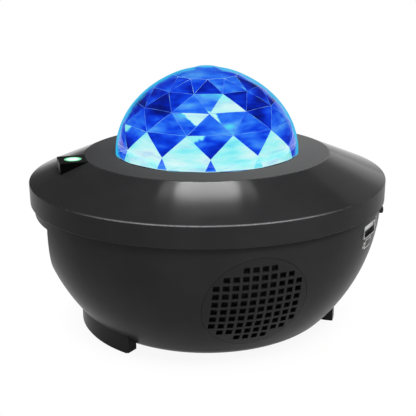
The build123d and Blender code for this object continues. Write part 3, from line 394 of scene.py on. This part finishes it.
FINISHES = {
    # the case's rim gets a painted sheen, a stand-in for a reflection, as well as worn edges
    "case_black": moulded_plastic(
        "case moulded black", linear(46, 46, 47), linear(55, 55, 56), 0.3,
        specular=0.03, depth=0.006, wear=rim_sheen_and_worn_edges),
    "grille_black": moulded_plastic(
        "grille moulded black", linear(42, 42, 43), linear(51, 51, 52), 0.45, specular=0.05),
    "pod_black": moulded_plastic(
        "pod smooth black", linear(8, 8, 9), linear(14, 14, 15), 0.4,
        grain=0.3, depth=0.004, specular=0.03),
    "tray_black": moulded_plastic("tray moulded black", linear(24, 24, 25), linear(34, 34, 35), 0.5),
    "tongue_black": moulded_plastic(
        "contact carrier black", linear(4, 4, 4), linear(9, 9, 9), 0.5,
        grain=0.3, depth=0.004, specular=0.05),
    "chip_black": moulded_plastic(
        "chip package black", linear(22, 22, 23), linear(36, 36, 37), 0.6, grain=0.06),
    "basket_steel": moulded_plastic(
        "basket painted black", linear(18, 18, 18), linear(30, 30, 30), 0.3, grain=0.4),
    "gear_white": moulded_plastic(
        "gear acetal white", linear(214, 212, 204), linear(232, 231, 226), 0.45),
    "led_yellow": moulded_plastic(
        "phosphor yellow", linear(226, 204, 84), linear(244, 228, 130), 0.5, grain=0.08),
    "pad_rubber": rubber("pad rubber"),
    "screw_steel": metal("screw plated steel", linear(150, 150, 154), linear(190, 190, 192), 0.32),
    "socket_steel": metal("socket nickel plate", linear(170, 170, 172), linear(212, 212, 214), 0.3),
    "axle_steel": metal("axle ground steel", linear(160, 160, 163), linear(196, 196, 198), 0.22),
    "motor_steel": metal("motor drawn steel", linear(140, 140, 144), linear(178, 178, 182), 0.35),
    "magnet_grey": metal("magnet plated plates", linear(84, 84, 88), linear(122, 122, 126), 0.45),
    "sink_aluminium": metal(
        "sink extruded aluminium", linear(178, 180, 184), linear(206, 207, 210), 0.4),
    "laser_brass": metal("barrel turned brass", linear(168, 128, 60), linear(204, 166, 92), 0.3),
    "lens_clear": clear_plastic("lens clear", linear(240, 246, 252), 0.04),
    "disc_clear": clear_plastic("disc clear acrylic", linear(222, 238, 252), 0.05),
    # its last colour is the painted glow along the dome's outline
    "dome_clear_blue": clear_plastic("dome clear", linear(225, 244, 255), 0.03, linear(52, 190, 236)),
    "board_green": circuit_board("circuit board"),
    "cone_paper": paper_cone("cone paper"),
    "window_green": window_glow("window green"),
    "print_white": printed_ink("printed ink white"),
}
SLOT_OF = {row["node"]: row["material_slot"] for row in frame["record"]["subparts"]}


def dress_frame():
    """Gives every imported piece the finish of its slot. The case doesn't mirror the dome."""
    for name, piece in frame["nodes"].items():
        piece.data.materials.clear()
        piece.data.materials.append(FINISHES[SLOT_OF[name]])
    frame["nodes"]["dome_lens"].visible_glossy = False


# ---- Lit facets inside the dome ----

GLINT_SEED = 11
DOME_INK = linear(0, 4, 40)    # the lit skin and the ribs where they don't glow

# Colours from a facet's darkest tone, 0, to its brightest, 1
FACET_TONES = (
    (0.0, (0, 18, 116)), (0.16, (0, 32, 176)), (0.32, (10, 66, 230)), (0.48, (44, 120, 250)),
    (0.62, (82, 158, 250)), (0.76, (88, 222, 246)), (0.88, (156, 250, 248)), (1.0, (224, 255, 250)),
)


def lit_facets(name):
    """The light of each facet: a shade from corner to corner, with a sharp glint across some."""
    finish = Finish(name, Emission_Strength=1.0, Specular_IOR_Level=0.0, Roughness=0.6)
    look = finish.tree.nodes.new("ShaderNodeSeparateXYZ")
    finish.put(look.inputs[0], finish.attribute("look", "Vector"))
    shade, line, glint = [Field(finish, output) for output in look.outputs]
    drift = finish.attribute("drift", "Vector")
    where = finish.node(
        "ShaderNodeVectorMath", {"operation": "ADD"}, {0: finish.coordinates(), 1: drift},
        output="Vector")
    waves = finish.noise(12 * MM, 2.0, 0.5, (1.0, 1.0, 2.4), where)
    streaks = finish.noise(10 * MM, 3.0, 0.5, (0.7, 0.7, 3.0), where)
    wobble = finish.noise(5 * MM, 2.0, 0.5, (1.0, 1.0, 1.0), where)
    shine = (line + (wobble - 0.5) * 0.45).step(-0.04, 0.06)
    bright = shade.step(0.72, 0.9)
    tone = shade + (waves - 0.5) * (0.8 - bright * 0.45) + (streaks - 0.5) * (0.5 - bright * 0.25)
    tone = tone + (glint - tone) * shine
    stops = [(position, linear(*colour)) for position, colour in FACET_TONES]
    colour = finish.ramp(tone.clamp(), *stops)
    veil = (bright + shine).clamp() * streaks.step(0.54, 0.74) * 0.4
    colour = finish.mix(veil, colour, linear(140, 186, 248))
    finish.set("Base Color", DOME_INK)
    finish.set("Emission Color", colour)
    return finish.material


# What a facet shows at its left, right and pointed corner: shade, and the glint's line, which
# shines where it is above 0. The last number is the glint's tone. The facets at the front by kind,
# level and place; a place counts half steps round from the first corner.
NO_GLINT = (-1, -1, -1)


def plain(left, right, tip):
    """The look of a facet that has no glint."""
    return (left, right, tip), NO_GLINT, 1.0


LIT = plain(0.93, 0.95, 0.87)
LIT_FOOT = plain(0.95, 0.95, 0.9)
BLUE = plain(0.3, 0.4, 0.45)
FACET_LOOKS = {
    ("base", 0, -1): LIT_FOOT, ("base", 0, 1): LIT_FOOT,
    ("base", 0, -3): LIT_FOOT, ("base", 0, 3): LIT_FOOT,
    ("base", 0, -5): BLUE, ("base", 0, 5): BLUE, ("up", 0, -5): BLUE, ("up", 0, 5): BLUE,
    ("foot", 0, 0): plain(0.55, 0.5, 0.5),
    ("foot", 0, 2): plain(0.86, 0.86, 0.8),
    ("up", 0, -1): LIT, ("up", 0, 1): LIT, ("up", 0, -3): LIT, ("up", 0, 3): LIT,
    ("down", 0, 0): ((0.3, 0.46, 0.08), (0.4, -0.6, -0.8), 0.88),
    ("down", 0, -2): plain(0.2, 0.4, 0.2),
    ("down", 0, 2): plain(0.42, 0.45, 0.38),
    ("up", 1, 0): plain(0.36, 0.5, 0.48),
    ("up", 1, -2): plain(0.5, 0.36, 0.4),
    ("up", 1, 2): plain(0.55, 0.45, 0.42),
    ("down", 1, -1): ((0.6, 0.5, 0.45), (-0.28, 0.72, -0.59), 0.97),
    ("down", 1, 1): ((0.5, 0.45, 0.66), (0.3, -1.1, -0.45), 0.95),
    ("down", 1, -3): plain(0.2, 0.05, 0.4),
    ("down", 1, 3): plain(0.05, 0.4, 0.1),
    ("up", 2, 1): plain(0.98, 0.98, 0.9),
    ("up", 2, -1): plain(0.42, 0.5, 0.5),
    ("up", 2, 3): plain(0.05, 0.1, 0.32),
    ("up", 2, -3): plain(0.3, 0.05, 0.12),
    ("down", 2, 0): ((0.4, 0.6, 0.6), (-0.25, -0.8, 0.15), 0.95),
    ("down", 2, -2): plain(0.1, 0.36, 0.3),
    ("down", 2, 2): plain(0.26, 0.2, 0.3),
    ("up", 3, 0): plain(0.14, 0.14, 0.2),
    ("up", 3, -2): plain(0.4, 0.35, 0.3),
    ("up", 3, 2): plain(0.36, 0.4, 0.5),
    ("down", 3, -1): plain(0.3, 0.3, 0.4),
    ("down", 3, 1): plain(0.34, 0.4, 0.62),
    ("cap", 4, 0): plain(0.45, 0.45, 0.45),
}


def add_ring(radius, height, turn):
    bpy.ops.mesh.primitive_circle_add(
        vertices=FACETS_ROUND, radius=radius, location=(0, 0, height), rotation=(0, 0, turn))


def facet_net(name, inset):
    """A closed shell of flat facets that lies inside the lens by that much."""
    bpy.ops.object.select_all(action="DESELECT")
    mesh = bpy.data.meshes.new(name)
    net = bpy.data.objects.new(name, mesh)
    bpy.context.scene.collection.objects.link(net)
    bpy.context.view_layer.objects.active = net
    net.select_set(True)
    bpy.ops.object.mode_set(mode="EDIT")
    for index, latitude in enumerate(FACET_LATITUDES):
        radius, height = dome_point(latitude, inset)
        turn = math.radians(FACET_ANGLE + FACET_STEP / 2 * (index % 2))
        add_ring(radius, height, turn)
    bpy.ops.mesh.select_all(action="SELECT")
    bpy.ops.mesh.bridge_edge_loops()
    bpy.ops.mesh.quads_convert_to_tris(quad_method="SHORTEST_DIAGONAL")
    bpy.ops.mesh.select_all(action="DESELECT")
    half, corner = math.radians(BASE_FACET_HALF), math.radians(FACET_STEP / 2)
    wide = dome_point(0, inset)[0] * math.cos(corner - half) / math.cos(corner)
    add_ring(wide, PLATEAU_Z, math.radians(FACET_ANGLE))
    cut = wide * math.sin(half) / math.cos(corner - half)
    bpy.ops.mesh.bevel(offset=cut, affect="VERTICES", offset_type="OFFSET", segments=1)
    middle = dome_point(40)[1]
    select_open_edges(net, 0.0, middle)
    bpy.ops.mesh.bridge_edge_loops()
    select_open_edges(net, middle, 1.0)
    bpy.ops.mesh.edge_face_add()
    bpy.ops.mesh.select_all(action="SELECT")
    bpy.ops.mesh.normals_make_consistent(inside=False)
    bpy.ops.object.mode_set(mode="OBJECT")
    return net


def select_open_edges(net, low, high):
    """Selects the open edges between two heights."""
    bpy.ops.mesh.select_all(action="DESELECT")
    bpy.ops.mesh.select_non_manifold(
        extend=False, use_wire=True, use_boundary=True, use_multi_face=False, use_non_contiguous=False,
        use_verts=True)
    shape = bmesh.from_edit_mesh(net.data)
    for point in shape.verts:
        if not low < point.co.z < high:
            point.select_set(False)
    shape.select_flush_mode()
    bmesh.update_edit_mesh(net.data)


def azimuth_of(point):
    return math.degrees(math.atan2(point.x, -point.y))


def facet_key(corners):
    """Kind, level and place of a facet, and its corners in the order left, right, pointed."""
    heights = [PLATEAU_Z] + [dome_point(latitude)[1] for latitude in FACET_LATITUDES]
    levels = [min(range(len(heights)), key=lambda k: abs(heights[k] - point.z)) - 1 for point in corners]
    if len(corners) > 3:
        return ("cap", levels[0], 0), list(range(len(corners)))
    low = min(levels)
    tip = next(index for index in range(3) if levels.count(levels[index]) == 1)
    middle = azimuth_of(sum(corners, Vector()) / 3)
    sides = sorted(
        (index for index in range(3) if index != tip),
        key=lambda index: (azimuth_of(corners[index]) - middle + 180) % 360)
    half = FACET_STEP / 2
    spot = round((azimuth_of(corners[tip]) - FACET_ANGLE) / half)
    span = (azimuth_of(corners[sides[1]]) - azimuth_of(corners[sides[0]])) % 360
    if low >= 0:
        kind = "up" if levels[tip] > low else "down"
    elif span < half:
        kind = "foot"
    else:
        kind = "base"
        spot = 2 * math.floor((middle - FACET_ANGLE) / FACET_STEP) + 1
    spot = (spot + FACETS_ROUND - 1) % (2 * FACETS_ROUND) - FACETS_ROUND + 1
    return (kind, max(low, 0), spot), [*sides, tip]


def facet_look(key, chance):
    """The look of that facet, or away from the front that of a like one, mirrored half the time."""
    if key in FACET_LOOKS:
        return FACET_LOOKS[key]
    alike = sorted(other for other in FACET_LOOKS if other[:2] == key[:2])
    shades, lines, glint = FACET_LOOKS[chance.choice(alike)]
    if chance.random() < 0.5:
        shades, lines = (shades[1], shades[0], shades[2]), (lines[1], lines[0], lines[2])
    return shades, lines, glint


def drift_key(key):
    """The facet whose pattern it shares: the halves of a base facet go on into the one above."""
    kind, level, spot = key
    return ("up", 0, spot) if kind == "base" else key


def make_dome_glow():
    """The lit skin inside the lens, with each facet's shade and glint on its corners.

    Its light and that of the ribs is kept off the case, which shows no blue in the photo.
    """
    glow = facet_net("dome_glow", LENS_WALL - GLOW_BITE)
    mesh = glow.data
    look = mesh.attributes.new("look", "FLOAT_VECTOR", "CORNER")
    drift = mesh.attributes.new("drift", "FLOAT_VECTOR", "CORNER")
    chance = random.Random(GLINT_SEED)
    found = []
    for facet in mesh.polygons:
        corners = [mesh.vertices[index].co for index in facet.vertices]
        found.append((facet.loop_start, *facet_key(corners)))
    keys = {key for start, key, order in found}
    looks = {key: facet_look(key, chance) for key in sorted(keys)}
    drifts = {}
    for key in sorted({drift_key(key) for key in keys}):
        drifts[key] = Vector([chance.uniform(-1, 1) for axis in range(3)])
    for start, key, order in found:
        shades, lines, glint = looks[key]
        for index, corner in enumerate(order):
            index = min(index, 2)
            look.data[start + corner].vector = (shades[index], lines[index], glint)
            drift.data[start + corner].vector = drifts[drift_key(key)]
    thicken(glow, GLOW_WALL)
    finish_piece(glow, lit_facets("dome lit facets"))
    glow.visible_glossy = False
    glow.visible_diffuse = False
    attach(glow, "housing")


def thicken(piece, wall):
    """Gives a skin its wall, inwards."""
    modifier = piece.modifiers.new("wall", "SOLIDIFY")
    modifier.thickness = wall
    modifier.offset = -1.0
    modifier.use_even_offset = True
    apply_modifier(piece, modifier)


def apply_modifier(piece, modifier):
    bpy.ops.object.select_all(action="DESELECT")
    bpy.context.view_layer.objects.active = piece
    piece.select_set(True)
    bpy.ops.object.modifier_apply(modifier=modifier.name)


def finish_piece(piece, material):
    piece.data.materials.clear()
    piece.data.materials.append(material)


def rib_light(name):
    """Pale lines where two facets meet, brighter near the base and round the cap."""
    finish = Finish(name, Emission_Strength=1.0, Specular_IOR_Level=0.0, Roughness=0.6)
    height = finish.axes()[2] - PLATEAU_Z / MM
    low, top = height.step(12.0, 2.0), height.step(33.5, 35.5)
    flicker = finish.noise(7 * MM, 2.0) + low * 0.25 + top * 0.55
    colour = finish.ramp(
        flicker,
        (0.36, linear(70, 120, 240)), (0.5, linear(112, 160, 246)),
        (0.62, linear(130, 214, 250)), (0.75, linear(206, 250, 255)),
    )
    finish.set("Base Color", DOME_INK)
    finish.set("Emission Color", colour)
    return finish.material


def make_dome_ribs():
    """Thin glowing lines along the edges between the facets, painted highlights where the edges catch
    the light.
    """
    ribs = facet_net("dome_ribs", LENS_WALL - RIB_BITE)
    modifier = ribs.modifiers.new("ribs", "WIREFRAME")
    modifier.thickness = RIB_W
    modifier.offset = -1.0
    modifier.use_even_offset = True
    modifier.use_boundary = True
    modifier.use_replace = True
    apply_modifier(ribs, modifier)
    finish_piece(ribs, rib_light("dome rib lines"))
    ribs.visible_glossy = False
    ribs.visible_diffuse = False
    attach(ribs, "housing")


# ---- Sockets and printed marks ----

USB_ANGLE = 45.0
USB_Z = 54.9 * MM
USB_FACE = 82.6 * MM       # open end of the shell from the axis
SPRING_W = 11.6 * MM
SPRING_H = 2.0 * MM
SPRING_T = 0.5 * MM
SPRING_BACK = 0.4 * MM
SPRING_RISE = 1.35 * MM    # middle of the spring over the middle of the shell
BUTTON_ANGLE = 80.0
BUTTON_PITCH = 17.0
INLET_ANGLE = -104.0
SPRING_RIM = 0.3 * MM      # flat edge round the pressed middle
SPRING_SLOPE = 0.12 * MM
SPRING_DISH = 0.1 * MM
SPRING_EDGE = 0.05 * MM
BUTTON_MARK_Z = 50.6       # mm
MARK_LINE = 0.42           # width of a printed line, mm
MARK_START_R = 90 * MM     # radius from which a mark is laid on the bowl
INK = 0.05 * MM
INK_OUT = 0.8              # -1 puts all the ink under the bowl's skin and 1 all of it outside


def facing_out(azimuth, along, height, distance, turn=0.0):
    """A place on a plane that faces out at that azimuth, with x along it, y up it and z outwards."""
    around = math.radians(azimuth)
    side = Vector((math.cos(around), math.sin(around), 0.0))
    out = Vector((math.sin(around), -math.cos(around), 0.0))
    up = Vector((0.0, 0.0, 1.0))
    turned = side * math.cos(turn) + up * math.sin(turn)
    spot = out * distance + side * along + up * height
    return Matrix.Translation(spot) @ Matrix((turned, out.cross(turned), out)).transposed().to_4x4()


def make_usb_spring():
    """The pressed contact spring in the upper half of the USB shell."""
    bpy.ops.object.select_all(action="DESELECT")
    bpy.ops.mesh.primitive_cube_add(size=1.0)
    spring = bpy.context.object
    spring.name = "usb_spring"
    middle = facing_out(
        USB_ANGLE, 0.0, USB_Z + SPRING_RISE, USB_FACE - SPRING_BACK - SPRING_T / 2)
    spring.matrix_world = middle @ Matrix.Diagonal((SPRING_W, SPRING_H, SPRING_T, 1.0))
    bpy.ops.object.transform_apply(location=True, rotation=True, scale=True)
    front = max(spring.data.polygons, key=lambda face: face.normal.dot(place(1.0, USB_ANGLE)))
    bpy.ops.object.mode_set(mode="EDIT")
    bpy.ops.mesh.select_all(action="DESELECT")
    shape = bmesh.from_edit_mesh(spring.data)
    shape.faces.ensure_lookup_table()
    shape.faces[front.index].select_set(True)
    bmesh.update_edit_mesh(spring.data)
    bpy.ops.mesh.inset(thickness=SPRING_RIM)
    bpy.ops.mesh.inset(thickness=SPRING_SLOPE, depth=-SPRING_DISH)
    bpy.ops.object.mode_set(mode="OBJECT")
    modifier = spring.modifiers.new("edges", "BEVEL")
    modifier.width = SPRING_EDGE
    modifier.segments = 2
    apply_modifier(spring, modifier)
    finish_piece(spring, FINISHES["socket_steel"])
    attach(spring, "housing")


def print_mark(name, azimuth, strokes):
    """Printed lines on the bowl. Each runs between two points given in mm along the surface and up."""
    bpy.ops.object.select_all(action="DESELECT")
    lines = []
    for (left, low), (right, high) in strokes:
        run = Vector((right - left, high - low))
        bpy.ops.mesh.primitive_grid_add(x_subdivisions=8, y_subdivisions=2, size=1.0)
        line = bpy.context.object
        middle = facing_out(
            azimuth, (left + right) / 2 * MM, (low + high) / 2 * MM, MARK_START_R,
            math.atan2(run.y, run.x))
        size = Matrix.Diagonal(((run.length + MARK_LINE) * MM, MARK_LINE * MM, 1.0, 1.0))
        line.matrix_world = middle @ size
        lines.append(line)
    for line in lines:
        line.select_set(True)
    mark = lines[0]
    bpy.context.view_layer.objects.active = mark
    bpy.ops.object.join()
    mark.name = name
    wrap = mark.modifiers.new("wrap", "SHRINKWRAP")
    wrap.target = frame["nodes"]["lower_bowl"]
    wrap.wrap_method = "PROJECT"
    wrap.use_project_z = True
    wrap.use_negative_direction = True
    wrap.use_positive_direction = False
    apply_modifier(mark, wrap)
    bpy.ops.object.transform_apply(location=True, rotation=True, scale=True)
    wall = mark.modifiers.new("ink", "SOLIDIFY")
    wall.thickness = INK
    wall.offset = INK_OUT
    apply_modifier(mark, wall)
    finish_piece(mark, FINISHES["print_white"])
    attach(mark, "housing")


def path(*points):
    """Strokes from each point to the next."""
    return list(zip(points, points[1:]))


def outline(*points):
    return path(*points, points[0])


def box(left, low, right, high):
    return outline((left, low), (right, low), (right, high), (left, high))


def ring(along, height, radius, sides=12):
    points = []
    for index in range(sides):
        turn = 2 * math.pi * (index + 0.5) / sides
        points.append((along + radius * math.sin(turn), height + radius * math.cos(turn)))
    return outline(*points)


def make_marks():
    """Plain icons: a memory stick, a bracket, a dot in a ring, and one for each button."""
    print_mark("usb_mark", USB_ANGLE, box(-1.8, 46.1, 5.6, 50.2) + box(-4.0, 47.1, -2.4, 49.3))
    print_mark("usb_bracket", USB_ANGLE, path((8.4, 52.2), (10.2, 52.2), (10.2, 58.2), (8.4, 58.2)))
    print_mark("inlet_mark", INLET_ANGLE, ring(0.0, 43.2, 1.8) + path((-0.2, 43.2), (0.2, 43.2)))
    level = BUTTON_MARK_Z
    power, play, less, more = [(index - 1.5) * BUTTON_PITCH for index in range(4)]
    marks = ring(power, level, 1.5) + path((power, level + 0.3), (power, level + 2.0))
    marks += outline((play - 1.1, level - 1.4), (play + 1.5, level), (play - 1.1, level + 1.4))
    marks += path((less - 1.5, level), (less + 1.5, level))
    marks += path((more - 1.5, level), (more + 1.5, level))
    marks += path((more, level - 1.5), (more, level + 1.5))
    print_mark("button_marks", BUTTON_ANGLE, marks)


# ---- Studio ----

FLOOR_SIZE = 6.0
FLOOR_WHITE = 0.92         # how far the floor is replaced by plain white near the case
FLOOR_NEAR = 55.0          # mm from the axis, where the floor starts to turn all white
FLOOR_FAR = 78.0
AMBIENT = 0.22             # strength of the even light
BACKDROP_ANGLE = 164.9     # azimuth of the middle of the mirrored backdrop, opposite the camera
ROOM_DARK = 0.06
LAMP_AIM_Z = 0.06
HIGHLIGHT_Z = 0.245
HIGHLIGHT_AIM_Z = 0.08


def studio_floor():
    """A pale floor that keeps the case's shadow and turns plain white away from it."""
    bpy.ops.object.select_all(action="DESELECT")
    bpy.ops.mesh.primitive_plane_add(size=FLOOR_SIZE, location=(0, 0, 0))
    floor = bpy.context.object
    floor.name = "studio_floor"
    finish = Finish("studio floor", Roughness=0.9, Specular_IOR_Level=0.1)
    paper = finish.noise(60 * MM, 3.0)
    finish.set("Base Color", finish.mix(paper, (0.86, 0.86, 0.86, 1), (0.9, 0.9, 0.9, 1)))
    rays = finish.tree.nodes.new("ShaderNodeLightPath").outputs
    seen = Field(finish, rays["Is Camera Ray"])
    through = Field(finish, rays["Is Transmission Ray"])
    mirrored = Field(finish, rays["Is Glossy Ray"])
    x, y = finish.axes()[:2]
    away = x.hypot(y).step(FLOOR_NEAR, FLOOR_FAR)
    share = (seen + through + mirrored).clamp() * (FLOOR_WHITE + away * (1.0 - FLOOR_WHITE))
    finish.blend(share, WHITE)
    floor.data.materials.append(finish.material)


def world_math(tree, operation, first, second):
    """A Math node of the world, its result kept between 0 and 1."""
    node = tree.nodes.new("ShaderNodeMath")
    node.operation = operation
    node.use_clamp = True
    for socket, value in zip(node.inputs, (first, second)):
        if isinstance(value, float):
            socket.default_value = value
        else:
            tree.links.new(value, socket)
    return node.outputs[0]


def slope(tree, direction, axis, low, high):
    """Rises from 0 to 1 as the direction's share along that axis goes from low to high."""
    along = tree.nodes.new("ShaderNodeVectorMath")
    along.operation = "DOT_PRODUCT"
    along.inputs[1].default_value = axis
    tree.links.new(direction, along.inputs[0])
    rise = tree.nodes.new("ShaderNodeMapRange")
    rise.inputs["From Min"].default_value = low
    rise.inputs["From Max"].default_value = high
    tree.links.new(along.outputs["Value"], rise.inputs["Value"])
    return rise.outputs[0]


def mirrored_room(tree, direction):
    """A pale backdrop, dimmer at its upper left, in a room that is dark in front and above."""
    back = slope(tree, direction, place(1.0, BACKDROP_ANGLE), 0.72, 0.93)
    ceiling = slope(tree, direction, (0, 0, 1), 0.27, 0.42)
    left = slope(tree, direction, place(1.0, BACKDROP_ANGLE + 90), -0.05, 0.18)
    high = slope(tree, direction, (0, 0, 1), -0.1, 0.12)
    pale = world_math(tree, "SUBTRACT", back, world_math(tree, "MULTIPLY", ceiling, 0.9))
    dark = world_math(tree, "MULTIPLY", world_math(tree, "MULTIPLY", left, high), 0.85)
    pale = world_math(tree, "MULTIPLY", pale, world_math(tree, "SUBTRACT", 1.0, dark))
    return world_math(tree, "MAXIMUM", pale, ROOM_DARK)


def studio_world():
    """White where it is seen, a room where it is mirrored, and a soft even light."""
    world = bpy.data.worlds.new("studio")
    bpy.context.scene.world = world
    world.use_nodes = True
    tree = world.node_tree
    tree.nodes.clear()
    rays = tree.nodes.new("ShaderNodeLightPath").outputs
    direction = tree.nodes.new("ShaderNodeTexCoord").outputs["Generated"]
    seen = world_math(tree, "ADD", rays["Is Camera Ray"], rays["Is Transmission Ray"])
    room = world_math(tree, "MULTIPLY", rays["Is Glossy Ray"], mirrored_room(tree, direction))
    even = world_math(
        tree, "MULTIPLY", world_math(tree, "SUBTRACT", 1.0, rays["Is Glossy Ray"]), AMBIENT)
    light = tree.nodes.new("ShaderNodeBackground")
    light.inputs["Color"].default_value = WHITE
    strength = world_math(tree, "MAXIMUM", seen, world_math(tree, "MAXIMUM", room, even))
    tree.links.new(strength, light.inputs["Strength"])
    output = tree.nodes.new("ShaderNodeOutputWorld")
    tree.links.new(light.outputs[0], output.inputs[0])


def aim(thing, target):
    """Turns a lamp or camera to face a point."""
    thing.rotation_euler = (Vector(target) - thing.location).to_track_quat("-Z", "Y").to_euler()


def softbox(name, where, target, width, height, watts, shape="RECTANGLE", diffuse=True):
    lamp = bpy.data.lights.new(name, "AREA")
    lamp.shape = shape
    lamp.size = width
    lamp.size_y = height
    lamp.energy = watts
    holder = bpy.data.objects.new(name, lamp)
    bpy.context.scene.collection.objects.link(holder)
    holder.location = where
    holder.visible_camera = False
    holder.visible_diffuse = diffuse
    aim(holder, target)
    holder.light_linking.receiver_collection = bpy.data.collections["clear of lamps"]


def highlight(name, where, target, size, watts):
    """A small lamp over the dome that shows only where it is mirrored. Places are radius, azimuth."""
    softbox(
        name, place(*where, HIGHLIGHT_Z), place(*target, HIGHLIGHT_AIM_Z), *size, watts, "ELLIPSE",
        diffuse=False)


def studio_lamps():
    """Soft lamps. The dome's smooth outside mirrors none of them."""
    clear = bpy.data.collections.new("clear of lamps")
    clear.objects.link(frame["nodes"]["dome_lens"])
    clear.collection_objects[0].light_linking.link_state = "EXCLUDE"
    middle = (0, 0, LAMP_AIM_Z)
    softbox("key", place(0.55, 12, 0.85), middle, 0.35, 0.35, 7.0)
    highlight("highlight", (0.036, 165), (0.055, -15), (0.08, 0.021), 0.235)
    highlight("highlight left", (0.052, 193), (0.06, -30), (0.07, 0.018), 0.045)
    highlight("highlight right", (0.052, 137), (0.06, 0), (0.07, 0.018), 0.045)
    softbox("left edge", place(0.9, -105, 0.3), middle, 0.4, 0.8, 0.8)
    softbox("right edge", place(0.9, 80, 0.3), middle, 0.4, 0.8, 0.6)
    softbox("back right", place(0.9, 128, 0.42), middle, 0.6, 0.5, 0.6)


CAMERA_TURN = -15.1        # azimuth of the camera about the case
CAMERA_RISE = 17.048
CAMERA_ROLL = -0.518
CAMERA_DISTANCE = 0.4154
CAMERA_AIM_Z = 0.05264
IMAGE_PIXELS = 416
FOCAL_PIXELS = 848.93
AXIS_PIXEL = 207.5         # column of the case's axis
AIM_PIXEL = 208.5          # row of the point that the camera aims at
SENSOR = 36.0


def studio_camera():
    lens = bpy.data.cameras.new("camera")
    lens.sensor_width = SENSOR
    lens.lens = SENSOR * FOCAL_PIXELS / IMAGE_PIXELS
    lens.shift_x = (IMAGE_PIXELS / 2 - AXIS_PIXEL) / IMAGE_PIXELS
    lens.shift_y = (AIM_PIXEL - IMAGE_PIXELS / 2) / IMAGE_PIXELS
    lens.clip_start = 0.01
    camera = bpy.data.objects.new("camera", lens)
    bpy.context.scene.collection.objects.link(camera)
    rise = math.radians(CAMERA_RISE)
    level = CAMERA_AIM_Z + CAMERA_DISTANCE * math.sin(rise)
    camera.location = place(CAMERA_DISTANCE * math.cos(rise), CAMERA_TURN, level)
    aim(camera, (0, 0, CAMERA_AIM_Z))
    camera.rotation_euler.rotate_axis("Z", math.radians(CAMERA_ROLL))
    bpy.context.scene.camera = camera


# ---- Making ----

dress_frame()
make_dome_glow()
make_dome_ribs()
make_usb_spring()
make_marks()
studio_floor()
studio_world()
studio_lamps()
studio_camera()
bpy.context.scene.view_settings.view_transform = "Standard"
